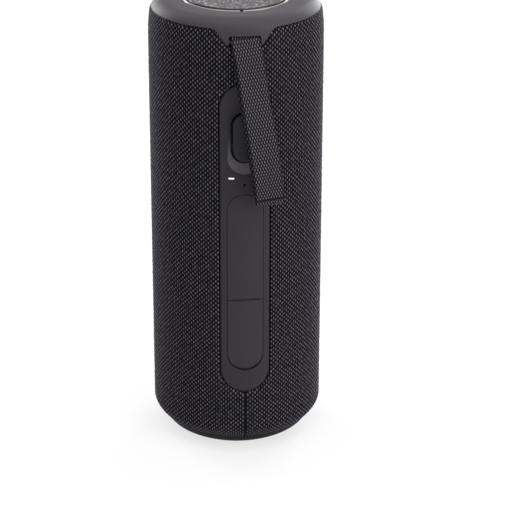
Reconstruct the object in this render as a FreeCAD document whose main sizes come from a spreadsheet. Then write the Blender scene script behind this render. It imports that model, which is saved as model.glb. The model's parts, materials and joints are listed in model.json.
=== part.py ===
"""Portable bluetooth speaker: an upright fabric-covered cylinder with a top dial, a rear control
spine and a webbing carry strap, built as separate pieces around a sealed acoustic core.

Frame: millimetres, +Z up, origin at the centre of the base on the surface it stands on. The spine
and the strap face -Y, and the two drivers and the two passive radiators face -X and +X.
"""
import FreeCAD, Part
import math
import os
import re

import Sketcher

SIZES = {
    # outside
    "body_radius": 41.0,
    "cloth_thick": 1.2,
    "hem_z": 6.2,
    "hem_radius": 36.5,
    "curl_mid_z": 9.6,
    "curl_mid_radius": 39.3,
    "curl_top_z": 13.2,
    "seam_z": 213.3,
    "taper_z": 200.2,
    "seam_radius": 39.9,
    "rib_radius": 39.7,
    "rib_thick": 1.8,
    "rib_low": 12.0,
    "rib_high": 200.6,
    # cap, bezel and dial
    "cap_top": 217.7,
    "cap_radius": 40.0,
    "cap_skirt_low": 201.0,
    "cap_wall": 2.0,
    "shoulder_round": 4.2,
    "well_radius": 25.2,
    "well_floor": 213.7,
    "bezel_width": 1.2,
    "bezel_top": 217.9,
    "dial_radius": 23.4,
    "dial_top": 218.2,
    "dial_under": 214.8,
    "hub_radius": 6.0,
    "hub_low": 210.2,
    "shaft_radius": 3.0,
    "shaft_low": 199.2,
    "encoder_half": 6.5,
    "encoder_top": 203.6,
    "bush_radius": 4.6,
    "bush_high": 209.4,
    "run_gap": 0.05,
    # tab and strap
    "tab_radius": 40.0,
    "tab_low": 205.3,
    "tab_half_low": 9.1,
    "tab_half_high": 12.6,
    "pocket_half": 7.7,
    "pocket_back": 35.3,
    "lip_z": 210.2,
    "relief_z": 202.6,
    "bar_y": 38.0,
    "bar_z": 207.45,
    "bar_radius": 1.0,
    "bar_half": 8.9,
    "webbing_width": 14.4,
    "webbing_thick": 1.3,
    "strap_back": 41.4,
    "strap_front": 52.2,
    "strap_low": 131.4,
    "neck_low": 199.0,
    "strap_lean": 8.0,
    # spine
    "spine_radius": 40.6,
    "spine_inner": 38.2,
    "spine_half": 11.8,
    "spine_low": 32.8,
    "spine_high": 188.0,
    "spine_gap": 0.3,
    "key_z": 161.8,
    "key_half": 5.7,
    "key_tall": 23.3,
    "key_gap": 0.45,
    "key_crown": 41.0,
    "dish_half": 8.4,
    "dish_tall": 35.4,
    "dish_radius": 39.9,
    "led_x": 6.35,
    "led_z": 142.4,
    "led_wide": 2.8,
    "led_tall": 0.95,
    "mic_x": 0.3,
    "mic_z": 139.1,
    "mic_radius": 0.55,
    # port cover and flap
    "cover_radius": 41.0,
    "cover_floor": 39.2,
    "cover_half": 8.4,
    "cover_low": 44.7,
    "cover_high": 134.4,
    "cover_gap": 0.3,
    "crease_z": 80.8,
    "crease_gap": 0.3,
    "port_half": 6.7,
    "port_low": 49.9,
    "port_high": 75.0,
    "usb_z": 68.0,
    "aux_z": 56.0,
    "aux_bore": 1.75,
    "port_mouth": 37.0,
    # boards
    "board_front": 30.6,
    "board_thick": 1.6,
    "board_half": 18.0,
    "board_low": 38.0,
    "board_high": 171.5,
    "top_board_z": 196.0,
    "top_board_radius": 31.0,
    # acoustic core
    "core_radius": 36.5,
    "core_flat": 27.0,
    "core_front": 21.0,
    "core_low": 14.0,
    "core_high": 190.0,
    "core_wall": 2.2,
    "lid_thick": 3.0,
    "driver_y": 2.5,
    "woofer_z": 130.0,
    "passive_z": 54.0,
    "flange_radius": 22.0,
    "flange_thick": 1.6,
    "port_radius": 19.4,
    "cone_radius": 14.6,
    "surround_radius": 18.0,
    "cone_gap": 0.3,
    "magnet_radius": 13.5,
    "screw_radius": 1.0,
    # battery
    "cell_radius": 9.25,
    "cell_length": 65.0,
    "cell_low": 22.0,
    "cell_front_y": -7.2,
    "cell_rear_y": 12.0,
    # base
    "pad_radius": 30.0,
    "pad_thick": 2.2,
    "base_plate_z": 4.2,
    "base_curl_z": 3.2,
    "base_curl_radius": 34.2,
}

doc = FreeCAD.newDocument("speaker")
sheet = doc.addObject("Spreadsheet::Sheet", "sizes")
for row, (alias, number) in enumerate(SIZES.items(), start=1):
    sheet.set(f"A{row}", alias)
    sheet.set(f"B{row}", str(number))
    sheet.setAlias(f"B{row}", alias)
doc.recompute()

NODES = {}


# ---------------------------------------------------------------- drawing tools
def size(alias):
    """One size, read back from the sheet."""
    return float(getattr(sheet, alias))


def formula(text):
    """The text as an expression in which each size is looked up in the sheet."""
    return re.sub(
        r"[a-z][a-z_]*", lambda word: f"sizes.{word[0]}" if word[0] in SIZES else word[0], str(text)
    )


def bind(thing, **formulas):
    for prop, text in formulas.items():
        thing.setExpression(prop.replace("__", "."), formula(text))


def move(thing, x="0", y="0", z="0"):
    bind(thing, Placement__Base__x=x, Placement__Base__y=y, Placement__Base__z=z)


def box(name, x, y, z):
    """A block between a low and a high value on each axis."""
    block = doc.addObject("Part::Box", name)
    bind(block, Length=f"({x[1]}) - ({x[0]})", Width=f"({y[1]}) - ({y[0]})", Height=f"({z[1]}) - ({z[0]})")
    move(block, x[0], y[0], z[0])
    return block


TURNS = {
    "x": FreeCAD.Rotation(FreeCAD.Vector(0, 1, 0), 90),
    "y": FreeCAD.Rotation(FreeCAD.Vector(1, 0, 0), -90),
    "z": FreeCAD.Rotation(),
}


def rod(name, axis, radius, span, x="0", y="0", z="0"):
    """A cylinder along one axis, from the low to the high end of its span."""
    cylinder = doc.addObject("Part::Cylinder", name)
    cylinder.Placement = FreeCAD.Placement(FreeCAD.Vector(), TURNS[axis])
    bind(cylinder, Radius=radius, Height=f"({span[1]}) - ({span[0]})")
    start = {"x": x, "y": y, "z": z}
    start[axis] = span[0]
    move(cylinder, **start)
    return cylinder


def cone(name, axis, radius_low, radius_high, span, x="0", y="0", z="0"):
    """A cone frustum along one axis."""
    frustum = doc.addObject("Part::Cone", name)
    frustum.Placement = FreeCAD.Placement(FreeCAD.Vector(), TURNS[axis])
    bind(frustum, Radius1=radius_low, Radius2=radius_high, Height=f"({span[1]}) - ({span[0]})")
    start = {"x": x, "y": y, "z": z}
    start[axis] = span[0]
    move(frustum, **start)
    return frustum


def fuse(name, *shapes):
    union = doc.addObject("Part::MultiFuse", name)
    union.Shapes = list(shapes)
    union.Refine = True
    return union


def group(name, *shapes):
    """Separate solids that share one node."""
    compound = doc.addObject("Part::Compound", name)
    compound.Links = list(shapes)
    return compound


def cut(name, base, *tools):
    """The base with every tool taken away in turn."""
    for index, tool in enumerate(tools):
        step = doc.addObject("Part::Cut", name if index == len(tools) - 1 else f"{name}_step")
        step.Base = base
        step.Tool = tool
        step.Refine = True
        base = step
    return base


def common(name, base, tool):
    shared = doc.addObject("Part::Common", name)
    shared.Base = base
    shared.Tool = tool
    shared.Refine = True
    return shared


def node(label, thing):
    thing.Label = label
    NODES[label] = thing
    return thing


def tube(name, inner, outer, low, high):
    """An upright tube about the speaker's axis."""
    return cut(
        name, rod(f"{name}_outer", "z", outer, (low, high)), rod(f"{name}_inner", "z", inner, (low, high))
    )


def pill(name, half_width, low, high, near="30", far="45", x="0"):
    """An upright round-ended prism on the -Y side, running from y = -far to y = -near."""
    span = (f"-({far})", f"-({near})")
    middle = box(
        f"{name}_middle",
        (f"{x} - ({half_width})", f"{x} + ({half_width})"),
        span,
        (f"({low}) + ({half_width})", f"({high}) - ({half_width})"),
    )
    ends = [
        rod(f"{name}_end", "y", half_width, span, x=x, z=f"({low}) + ({half_width})"),
        rod(f"{name}_end", "y", half_width, span, x=x, z=f"({high}) - ({half_width})"),
    ]
    return fuse(name, middle, *ends)


# ---------------------------------------------------------------- sketch tools
def new_body(label):
    body = doc.addObject("PartDesign::Body", label)
    body.Label = label
    return body


def sketch_on(body, role):
    """A sketch on one of the body's own origin planes."""
    plane = next(item for item in body.Origin.OriginFeatures if item.Role == role)
    sketch = body.newObject("Sketcher::SketchObject", f"{body.Name}_sketch")
    sketch.AttachmentSupport = [(plane, "")]
    sketch.MapMode = "FlatFace"
    return sketch


def outline(sketch, corners):
    """A closed outline of straight lines, each corner held at its place from the origin by the sheet."""
    count = len(corners)
    first = sketch.GeometryCount
    turn = 2 * math.pi / count
    ring = [FreeCAD.Vector(2 + math.cos(turn * i), 2 + math.sin(turn * i), 0) for i in range(count)]
    for i in range(count):
        sketch.addGeometry(Part.LineSegment(ring[i], ring[(i + 1) % count]))
    for i in range(count):
        sketch.addConstraint(Sketcher.Constraint("Coincident", first + i, 2, first + (i + 1) % count, 1))
    for i, (across, up) in enumerate(corners):
        for kind, text, start in (("DistanceX", across, ring[i].x), ("DistanceY", up, ring[i].y)):
            index = sketch.addConstraint(Sketcher.Constraint(kind, -1, 1, first + i, 1, start))
            sketch.setExpression(f"Constraints[{index}]", formula(text))


def circle(sketch, across, up, radius):
    """A circle in a sketch, its centre and radius held by the sheet."""
    index = sketch.addGeometry(Part.Circle(FreeCAD.Vector(2, 2, 0), FreeCAD.Vector(0, 0, 1), 1))
    for kind, text in (("DistanceX", across), ("DistanceY", up)):
        rule = sketch.addConstraint(Sketcher.Constraint(kind, -1, 1, index, 3, 2.0))
        sketch.setExpression(f"Constraints[{rule}]", formula(text))
    rule = sketch.addConstraint(Sketcher.Constraint("Radius", index, 1.0))
    sketch.setExpression(f"Constraints[{rule}]", formula(radius))


def turned(label, *outlines):
    """A solid of revolution about Z, from closed outlines of (radius, height) corners."""
    body = new_body(label)
    sketch = sketch_on(body, "XZ_Plane")
    for corners in outlines:
        outline(sketch, corners)
    spin = body.newObject("PartDesign::Revolution", f"{label}_turn")
    spin.Profile = sketch
    spin.ReferenceAxis = (sketch, ["V_Axis"])
    spin.Angle = 360
    body.Tip = spin
    doc.recompute()
    return body


def padded(label, role, length, midplane=False, outlines=(), circles=(), reverse=False):
    """A body made by padding one sketch of outlines and circles."""
    body = new_body(label)
    sketch = sketch_on(body, role)
    for corners in outlines:
        outline(sketch, corners)
    for place in circles:
        circle(sketch, *place)
    pad = body.newObject("PartDesign::Pad", f"{label}_pad")
    pad.Profile = sketch
    pad.Midplane = midplane
    pad.Reversed = reverse
    bind(pad, Length=length)
    body.Tip = pad
    doc.recompute()
    return body


def circle_edges(shape, radius, height):
    """Names of the full circles about Z with the given radius and height."""
    names = []
    for index, edge in enumerate(shape.Edges, start=1):
        curve = edge.Curve
        if not isinstance(curve, Part.Circle):
            continue
        if abs(curve.Radius - radius) < 0.01 and abs(curve.Center.z - height) < 0.01:
            names.append(f"Edge{index}")
    return names


def round_rims(body, round_radius, *rims):
    """A fillet on the rims, each given by its radius and height, as the body's last feature."""
    doc.recompute()
    edges = [name for radius, height in rims for name in circle_edges(body.Shape, radius, height)]
    last = body.Tip
    fillet = body.newObject("PartDesign::Fillet", f"{body.Name}_round")
    fillet.Base = (last, edges)
    bind(fillet, Radius=round_radius)
    body.Tip = fillet
    doc.recompute()
    return body


# ---------------------------------------------------------------- base
def make_base():
    pad = turned(
        "foot_pad", [("0", "0"), ("pad_radius", "0"), ("pad_radius", "pad_thick"), ("0", "pad_thick")]
    )
    node("foot_pad", round_rims(pad, "0.6", (size("pad_radius"), 0)))
    cap = turned(
        "base_cap",
        [
            ("0", "pad_thick"),
            ("pad_radius + 0.1", "pad_thick"),
            ("pad_radius + 0.1", "0.9"),
            ("pad_radius + 1.2", "0.9"),
            ("base_curl_radius", "base_curl_z"),
            ("hem_radius - 0.2", "hem_z - 0.1"),
            ("hem_radius - 0.9", "hem_z + 1.1"),
            ("38.0", "rib_low - 0.2"),
            ("rib_radius - rib_thick - 0.1", "rib_low - 0.2"),
            ("rib_radius - rib_thick - 0.1", "rib_low + 2"),
            ("36", "rib_low + 2"),
            ("34.2", "curl_mid_z - 1.0"),
            ("31.2", "base_plate_z"),
            ("0", "base_plate_z"),
        ],
    )
    bosses = [
        rod("base_boss", "z", "3.2", ("base_plate_z - 0.4", "core_low"), x=f"{sx} * 17", y=f"{sy} * 14")
        for sx in (-1, 1)
        for sy in (-1, 1)
    ]
    body = fuse("base_cap_body", cap, *bosses)
    places = [(17 * sx, 14 * sy) for sx in (-1, 1) for sy in (-1, 1)]
    screws = screw_set("base_screws", places, "pad_thick", "core_low + 2")
    node("base_cap", cut("base_cap_drilled", body, screws))
    return screws


def screw_set(label, places, low, high, head_radius="2.1", head_thick="1.2"):
    """Upright cap screws, heads down, as one group of solids."""
    screws = []
    for x, y in places:
        shank = rod(f"{label}_shank", "z", "screw_radius", (low, high), x=x, y=y)
        head = rod(f"{label}_head", "z", head_radius, (low, f"({low}) + ({head_thick})"), x=x, y=y)
        screws.append(fuse(f"{label}_one", shank, head))
    return node(label, group(label, *screws))


# ---------------------------------------------------------------- outside
def tab_shape(name, grow, low, near="30"):
    """The cap's tab: wide under the cap and narrower at its foot, as a prism on the -Y side."""
    half_low = f"tab_half_low + {grow}"
    half_high = f"tab_half_high + {grow}"
    corners = [
        (f"-({half_low})", low),
        (half_low, low),
        (half_high, "seam_z - 1.6"),
        (f"{half_high} + 1.2", "seam_z + 0.2"),
        (f"-({half_high} + 1.2)", "seam_z + 0.2"),
        (f"-({half_high})", "seam_z - 1.6"),
    ]
    prism = padded(name, "XZ_Plane", "45", outlines=[corners])
    return cut(
        f"{name}_slab", prism, box(f"{name}_inside", ("-30", "30"), (f"-({near})", "1"), ("150", "230"))
    )


def make_outside():
    sleeve = turned(
        "sleeve",
        [
            ("hem_radius", "hem_z"),
            ("curl_mid_radius", "curl_mid_z"),
            ("body_radius", "curl_top_z"),
            ("body_radius", "taper_z"),
            ("seam_radius", "seam_z"),
            ("seam_radius - cloth_thick", "seam_z"),
            ("body_radius - cloth_thick", "taper_z"),
            ("body_radius - cloth_thick", "curl_top_z - 1.3"),
            ("curl_mid_radius - 1.05", "curl_mid_z + 0.7"),
            ("hem_radius - 0.7", "hem_z + 0.9"),
        ],
    )
    hole = pill("cloth_window", "spine_half + spine_gap", "spine_low - spine_gap", "spine_high + spine_gap")
    notch = tab_shape("cloth_notch", "0.25", "tab_low - 0.25")
    relief = box("cloth_relief", ("-pocket_half", "pocket_half"), ("-45", "-30"), ("relief_z", "tab_low"))
    node("grille_fabric", cut("sleeve_open", sleeve, hole, notch, relief))

    ribs = tube("rib_tube", "rib_radius - rib_thick", "rib_radius", "rib_low", "rib_high")
    windows = []
    columns = 16
    rows = 7
    for column in range(columns):
        angle = math.radians(360 / columns * (column + 0.5))
        if math.sin(angle) < -0.93:
            continue
        for row in range(rows):
            window = box("rib_window", ("34", "44"), ("-5.2", "5.2"), ("0", "20"))
            window.Placement = FreeCAD.Placement(
                FreeCAD.Vector(), FreeCAD.Rotation(FreeCAD.Vector(0, 0, 1), math.degrees(angle))
            )
            move(window, f"34 * {math.cos(angle)} + 5.2 * {math.sin(angle)}",
                 f"34 * {math.sin(angle)} - 5.2 * {math.cos(angle)}",
                 f"rib_low + 8 + {row} * (rib_high - rib_low - 14) / {rows}")
            windows.append(window)
    spine_hole = pill(
        "rib_spine", "spine_half + spine_gap", "spine_low - spine_gap", "spine_high + spine_gap"
    )
    node("grille_frame", cut("rib_open", ribs, spine_hole, group("rib_windows", *windows)))


def make_cap():
    cap = turned(
        "cap_ring",
        [
            ("cap_radius", "seam_z + 0.1"),
            ("cap_radius", "cap_top"),
            ("well_radius", "cap_top"),
            ("well_radius", "well_floor"),
            ("hub_radius + 1.4", "well_floor"),
            ("hub_radius + 1.4", "well_floor - 1.6"),
            ("well_radius + 1.6", "well_floor - 1.6"),
            ("well_radius + 1.6", "cap_top - cap_wall"),
            ("34.4", "cap_top - cap_wall"),
            ("36.4", "cap_top - cap_wall - 2"),
            ("37.2", "cap_skirt_low"),
            ("39.5", "cap_skirt_low"),
            ("seam_radius - cloth_thick - 0.15", "seam_z + 0.1"),
        ],
    )
    round_rims(cap, "shoulder_round", (size("cap_radius"), size("cap_top")))
    tab = common(
        "tab_curved",
        tab_shape("tab_prism", "0", "tab_low"),
        tube("tab_tube", "36.4", "tab_radius", "tab_low - 1", "cap_top - cap_wall"),
    )
    housing = box(
        "strap_housing",
        ("-10.4", "10.4"),
        ("-37.6", "-pocket_back + 1.8"),
        ("relief_z + 0.5", "cap_top - 3"),
    )
    solid = fuse("cap_solid", cap, tab, housing)
    pocket = box(
        "strap_pocket",
        ("-pocket_half", "pocket_half"),
        ("-50", "-pocket_back"),
        ("tab_low - 0.4", "lip_z"),
    )
    relief = box("cap_relief", ("-pocket_half", "pocket_half"), ("-50", "-37"), ("relief_z", "tab_low"))
    pin = rod("strap_bar", "x", "bar_radius", ("-bar_half", "bar_half"), y="-bar_y", z="bar_z")
    node("strap_bar", pin)
    node("top_cap", cut("cap_open", solid, pocket, relief, pin))

    bezel = turned(
        "dial_bezel_ring",
        [
            ("well_radius - bezel_width", "well_floor"),
            ("well_radius", "well_floor"),
            ("well_radius", "bezel_top"),
            ("well_radius - bezel_width", "bezel_top"),
        ],
    )
    round_rims(
        bezel,
        "0.45",
        (size("well_radius"), size("bezel_top")),
        (size("well_radius") - size("bezel_width"), size("bezel_top")),
    )
    notch = box("bezel_notch", ("-0.7", "0.7"), ("-30", "-20"), ("bezel_top - 1.1", "bezel_top + 1"))
    node("dial_bezel", cut("bezel_open", bezel, notch))


def make_dial():
    disc = turned(
        "volume_dial",
        [
            ("0", "dial_top - 0.9"),
            ("dial_radius - 3.2", "dial_top - 0.35"),
            ("dial_radius - 1.6", "dial_top"),
            ("dial_radius", "dial_top"),
            ("dial_radius", "dial_under"),
            ("dial_radius - 1.4", "dial_under"),
            ("dial_radius - 1.4", "dial_under + 1.2"),
            ("hub_radius", "dial_under + 1.2"),
            ("hub_radius", "hub_low"),
            ("shaft_radius", "hub_low"),
            ("shaft_radius", "dial_under + 0.6"),
            ("0", "dial_under + 0.6"),
        ],
    )
    node("volume_dial", round_rims(disc, "0.5", (size("dial_radius"), size("dial_top"))))
    node("encoder_shaft", rod("encoder_shaft", "z", "shaft_radius", ("shaft_low", "dial_under + 0.6")))
    case = box(
        "encoder_case",
        ("-encoder_half", "encoder_half"),
        ("-encoder_half", "encoder_half"),
        ("top_board_z + board_thick", "encoder_top"),
    )
    bush = rod("encoder_bush", "z", "bush_radius", ("encoder_top - 0.6", "bush_high"))
    bore = rod("encoder_bore", "z", "shaft_radius + run_gap", ("shaft_low - 0.3", "bush_high + 0.6"))
    node("encoder", cut("encoder_open", fuse("encoder_block", case, bush), bore))

    board = padded(
        "top_board",
        "XY_Plane",
        "board_thick",
        circles=[
            ("0", "0", "top_board_radius"), ("22", "12", "1.6"), ("-22", "12", "1.6"), ("0", "-25", "1.6")
        ],
    )
    move(board, z="top_board_z")
    node("top_board", board)
    lamps = []
    count = 12
    for index in range(count):
        angle = 2 * math.pi * (index + 0.5) / count
        lamp = box("ring_lamp", ("0", "2"), ("0", "2"), ("0", "0.8"))
        move(
            lamp,
            f"24.6 * {math.cos(angle)} - 1",
            f"24.6 * {math.sin(angle)} - 1",
            "top_board_z + board_thick",
        )
        lamps.append(lamp)
    node("ring_lamps", group("ring_lamps", *lamps))
    node(
        "antenna",
        box("antenna", ("-9", "9"), ("25.5", "29"), ("top_board_z + board_thick", "top_board_z + 2.4")),
    )


# ---------------------------------------------------------------- strap
def make_strap():
    """A doubled webbing loop: an eye round the bar, a neck out of the pocket and the hanging loop."""
    eye_radius = "bar_radius + run_gap + webbing_thick"
    eye = padded(
        "strap_eye",
        "YZ_Plane",
        "webbing_width",
        midplane=True,
        circles=[("-bar_y", "bar_z", eye_radius), ("-bar_y", "bar_z", "bar_radius + run_gap")],
    )
    neck = padded(
        "strap_neck",
        "YZ_Plane",
        "webbing_width",
        midplane=True,
        outlines=[
            [
                ("-bar_y - 2.3", "bar_z + 0.4"),
                ("-strap_back - 1.9", "bar_z - 4.05"),
                ("-strap_back - 2 * webbing_thick", "neck_low"),
                ("-strap_back", "neck_low"),
                ("-strap_back", "bar_z - 3.55"),
                ("-bar_y + 0.4", "bar_z - 2.3"),
                ("-bar_y - 0.9", "bar_z - 1.1"),
                ("-bar_y - 1.4", "bar_z"),
            ]
        ],
    )
    top = fuse("strap_top", eye, cut("strap_neck_open", neck, rod("eye_bore", "x", "bar_radius + run_gap",
               ("-20", "20"), y="-bar_y", z="bar_z")))
    outer = [
        ("-strap_back", "bar_z - 3.95"),
        ("-strap_back - 2 * webbing_thick", "bar_z - 4.95"),
        ("-strap_back - 3.4", "strap_low + 62"),
        ("-strap_back - 6.4", "strap_low + 44"),
        ("-strap_front + 0.8", "strap_low + 28"),
        ("-strap_front", "strap_low + 18"),
        ("-strap_front + 0.8", "strap_low + 9"),
        ("-strap_front + 3", "strap_low + 2"),
        ("-strap_front + 5", "strap_low"),
        ("-strap_back - 3.4", "strap_low"),
        ("-strap_back - 1", "strap_low + 3"),
        ("-strap_back", "strap_low + 12"),
    ]
    inner = [
        ("-strap_back - webbing_thick", "strap_low + 60"),
        ("-strap_back - webbing_thick - 0.5", "strap_low + 60"),
        ("-strap_back - 6.4 + webbing_thick", "strap_low + 43.5"),
        ("-strap_front + 0.8 + webbing_thick", "strap_low + 27.5"),
        ("-strap_front + webbing_thick", "strap_low + 18"),
        ("-strap_front + 0.8 + webbing_thick", "strap_low + 10"),
        ("-strap_front + 3 + webbing_thick", "strap_low + 3.6"),
        ("-strap_front + 5.4", "strap_low + webbing_thick"),
        ("-strap_back - 3.4", "strap_low + webbing_thick"),
        ("-strap_back - 2", "strap_low + 4"),
        ("-strap_back - webbing_thick", "strap_low + 12"),
    ]
    loop = padded("strap_loop", "YZ_Plane", "webbing_width", midplane=True, outlines=[outer, inner])
    pivot_z = size("bar_z") - 3
    lean = FreeCAD.Rotation(FreeCAD.Vector(0, 1, 0), -size("strap_lean"))
    middle = FreeCAD.Vector(0, 0, pivot_z)
    loop.Placement = FreeCAD.Placement(middle - lean.multVec(middle), lean)
    node("carry_strap", fuse("strap_whole", top, loop))


# ---------------------------------------------------------------- spine
def slice_of(name, prism, inner, outer, low="20", high="190"):
    """The stretch of a prism that lies between two radii."""
    return common(name, prism, tube(f"{name}_tube", inner, outer, low, high))


def make_spine():
    low_key = "key_z - key_tall / 2"
    high_key = "key_z + key_tall / 2"
    panel = slice_of(
        "panel_blank",
        pill("panel_pill", "spine_half", "spine_low", "spine_high"),
        "spine_inner",
        "spine_radius",
    )
    dish = slice_of(
        "dish_cut",
        pill("dish_pill", "dish_half", "key_z - dish_tall / 2", "key_z + dish_tall / 2"),
        "dish_radius",
        "spine_radius + 2",
    )
    key_hole = pill("key_hole", "key_half + key_gap", f"{low_key} - key_gap", f"{high_key} + key_gap")
    cover_seat = slice_of(
        "cover_seat",
        pill("seat_pill", "cover_half + cover_gap", "cover_low - cover_gap", "cover_high + cover_gap"),
        "cover_floor",
        "spine_radius + 2",
    )
    port_hole = pill("port_hole", "port_half", "port_low", "port_high")
    scoop = rod("scoop", "y", "5.6", ("-50", "-39.6"), z="cover_low + 3.4")
    lamp_hole = box(
        "lamp_hole",
        ("-led_x - led_wide / 2", "-led_x + led_wide / 2"),
        ("-45", "-30"),
        ("led_z - led_tall / 2", "led_z + led_tall / 2"),
    )
    mic_hole = rod("mic_hole", "y", "mic_radius", ("-45", "-30"), x="-mic_x", z="mic_z")
    openings = (dish, key_hole, cover_seat, port_hole, scoop, lamp_hole, mic_hole)
    node("spine_panel", cut("panel_open", panel, *openings))

    crown = slice_of("key_crown_cut", pill("key_pill", "key_half", low_key, high_key), "36.6", "key_crown")
    flange = slice_of(
        "key_flange_cut",
        pill("key_flange_pill", "key_half + 1.6", f"{low_key} - 1.6", f"{high_key} + 1.6"),
        "36.6",
        "spine_inner - 0.25",
    )
    stem = rod("key_stem", "y", "2", ("-37.4", "-33.6"), z="key_z")
    node("power_key", fuse("key_whole", crown, flange, stem))
    node("switch_plunger", rod("switch_plunger", "y", "1.6", ("-33.6", "-31.95"), z="key_z"))
    case = box("switch_case", ("-3", "3"), ("-33", "-board_front"), ("key_z - 3", "key_z + 3"))
    switch_bore = rod("switch_bore", "y", "1.6 + run_gap", ("-34", "-31.35"), z="key_z")
    node("power_switch", cut("switch_open", case, switch_bore))
    seal_outer = pill("seal_outer", "key_half + 3.4", f"{low_key} - 3.4", f"{high_key} + 3.4")
    seal_inner = pill("seal_inner", "key_half + 1.9", f"{low_key} - 1.9", f"{high_key} + 1.9")
    gasket = slice_of("gasket_slice", seal_outer, "36.9", "spine_inner - 0.05")
    node("key_gasket", cut("gasket_open", gasket, seal_inner))

    lens = box(
        "lens_block",
        ("-led_x - led_wide / 2 + 0.02", "-led_x + led_wide / 2 - 0.02"),
        ("-44", "-31.6"),
        ("led_z - led_tall / 2 + 0.02", "led_z + led_tall / 2 - 0.02"),
    )
    node(
        "status_lens",
        common("lens_cut", lens, rod("lens_limit", "z", "spine_radius + 0.02", ("100", "170"))),
    )
    lamp = box(
        "status_lamp",
        ("-led_x - 0.8", "-led_x + 0.8"),
        ("-31.3", "-board_front"),
        ("led_z - 0.5", "led_z + 0.5"),
    )
    node("status_lamp", lamp)
    boot = rod("boot_outer", "y", "1.8", ("-38", "-31.7"), x="-mic_x", z="mic_z")
    boot_bore = rod("boot_bore", "y", "mic_radius + 0.1", ("-40", "-31"), x="-mic_x", z="mic_z")
    node("microphone_boot", cut("boot_open", boot, boot_bore))
    node(
        "microphone",
        box(
            "microphone",
            ("-mic_x - 2", "-mic_x + 2"),
            ("-31.7", "-board_front"),
            ("mic_z - 1.5", "mic_z + 1.5"),
        ),
    )


def make_cover():
    whole = pill("cover_pill", "cover_half", "cover_low", "cover_high")
    skin = slice_of("cover_skin", whole, "cover_floor + 0.05", "cover_radius")
    above = box("above_crease", ("-20", "20"), ("-50", "-20"), ("crease_z + crease_gap / 2", "150"))
    below = box("below_crease", ("-20", "20"), ("-50", "-20"), ("20", "crease_z - crease_gap / 2"))
    node("port_cover", common("cover_upper", skin, above))
    usb_block = box("usb_pad_block", ("-5.4", "5.4"), ("-45", "-37.3"), ("usb_z - 2.9", "usb_z + 2.9"))
    usb_pad = slice_of("usb_pad", usb_block, "30", "40")
    aux_pad = slice_of("aux_pad", rod("aux_pad_rod", "y", "3.3", ("-45", "-37.3"), z="aux_z"), "30", "40")
    pull = slice_of(
        "pull_lip",
        pill("pull_pill", "4.6", "cover_low + 0.6", "cover_low + 10.6"),
        "cover_floor + 0.5",
        "cover_radius + 0.25",
    )
    node("port_flap", fuse("flap_whole", common("cover_lower", skin, below), usb_pad, aux_pad, pull))


def make_ports():
    plate = pill(
        "port_frame_pill", "port_half + 1.6", "port_low - 2", "port_high + 2", near="35.6", far="37.0"
    )
    usb_hole = pill_flat("usb_frame_hole", "4.65", "1.8", "usb_z", "-45", "-30")
    aux_hole = rod("aux_frame_hole", "y", "3.3", ("-45", "-30"), z="aux_z")
    node("port_frame", cut("port_frame_open", plate, usb_hole, aux_hole))

    shell = pill_flat("usb_outer", "4.6", "1.7", "usb_z", "-port_mouth", "-board_front")
    mouth = pill_flat("usb_inner", "4.3", "1.4", "usb_z", "-45", "-board_front - 0.8")
    node("usb_c_shell", cut("usb_shell_open", shell, mouth))
    tongue = box(
        "usb_c_tongue",
        ("-3.3", "3.3"),
        ("-port_mouth + 0.9", "-board_front - 0.8"),
        ("usb_z - 0.35", "usb_z + 0.35"),
    )
    node("usb_c_tongue", tongue)

    barrel = rod("jack_barrel", "y", "3.2", ("-port_mouth", "-board_front - 2"), z="aux_z")
    case = box(
        "jack_case",
        ("-3.6", "3.6"),
        ("-board_front - 2.4", "-core_front - 0.4"),
        ("aux_z - 3.6", "aux_z + 3.6"),
    )
    bore = rod("jack_bore", "y", "aux_bore", ("-45", "-port_mouth + 14"), z="aux_z")
    node("aux_jack", cut("jack_open", fuse("jack_whole", barrel, case), bore))


def pill_flat(name, half_width, half_tall, z, low, high):
    """A lying round-ended prism along Y, wider than it is tall."""
    side = f"{half_width} - {half_tall}"
    middle = box(
        f"{name}_middle", (f"-({side})", side), (low, high), (f"{z} - {half_tall}", f"{z} + {half_tall}")
    )
    ends = [
        rod(f"{name}_end", "y", half_tall, (low, high), x=f"{sign} * ({side})", z=z) for sign in (-1, 1)
    ]
    return fuse(name, middle, *ends)


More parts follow.
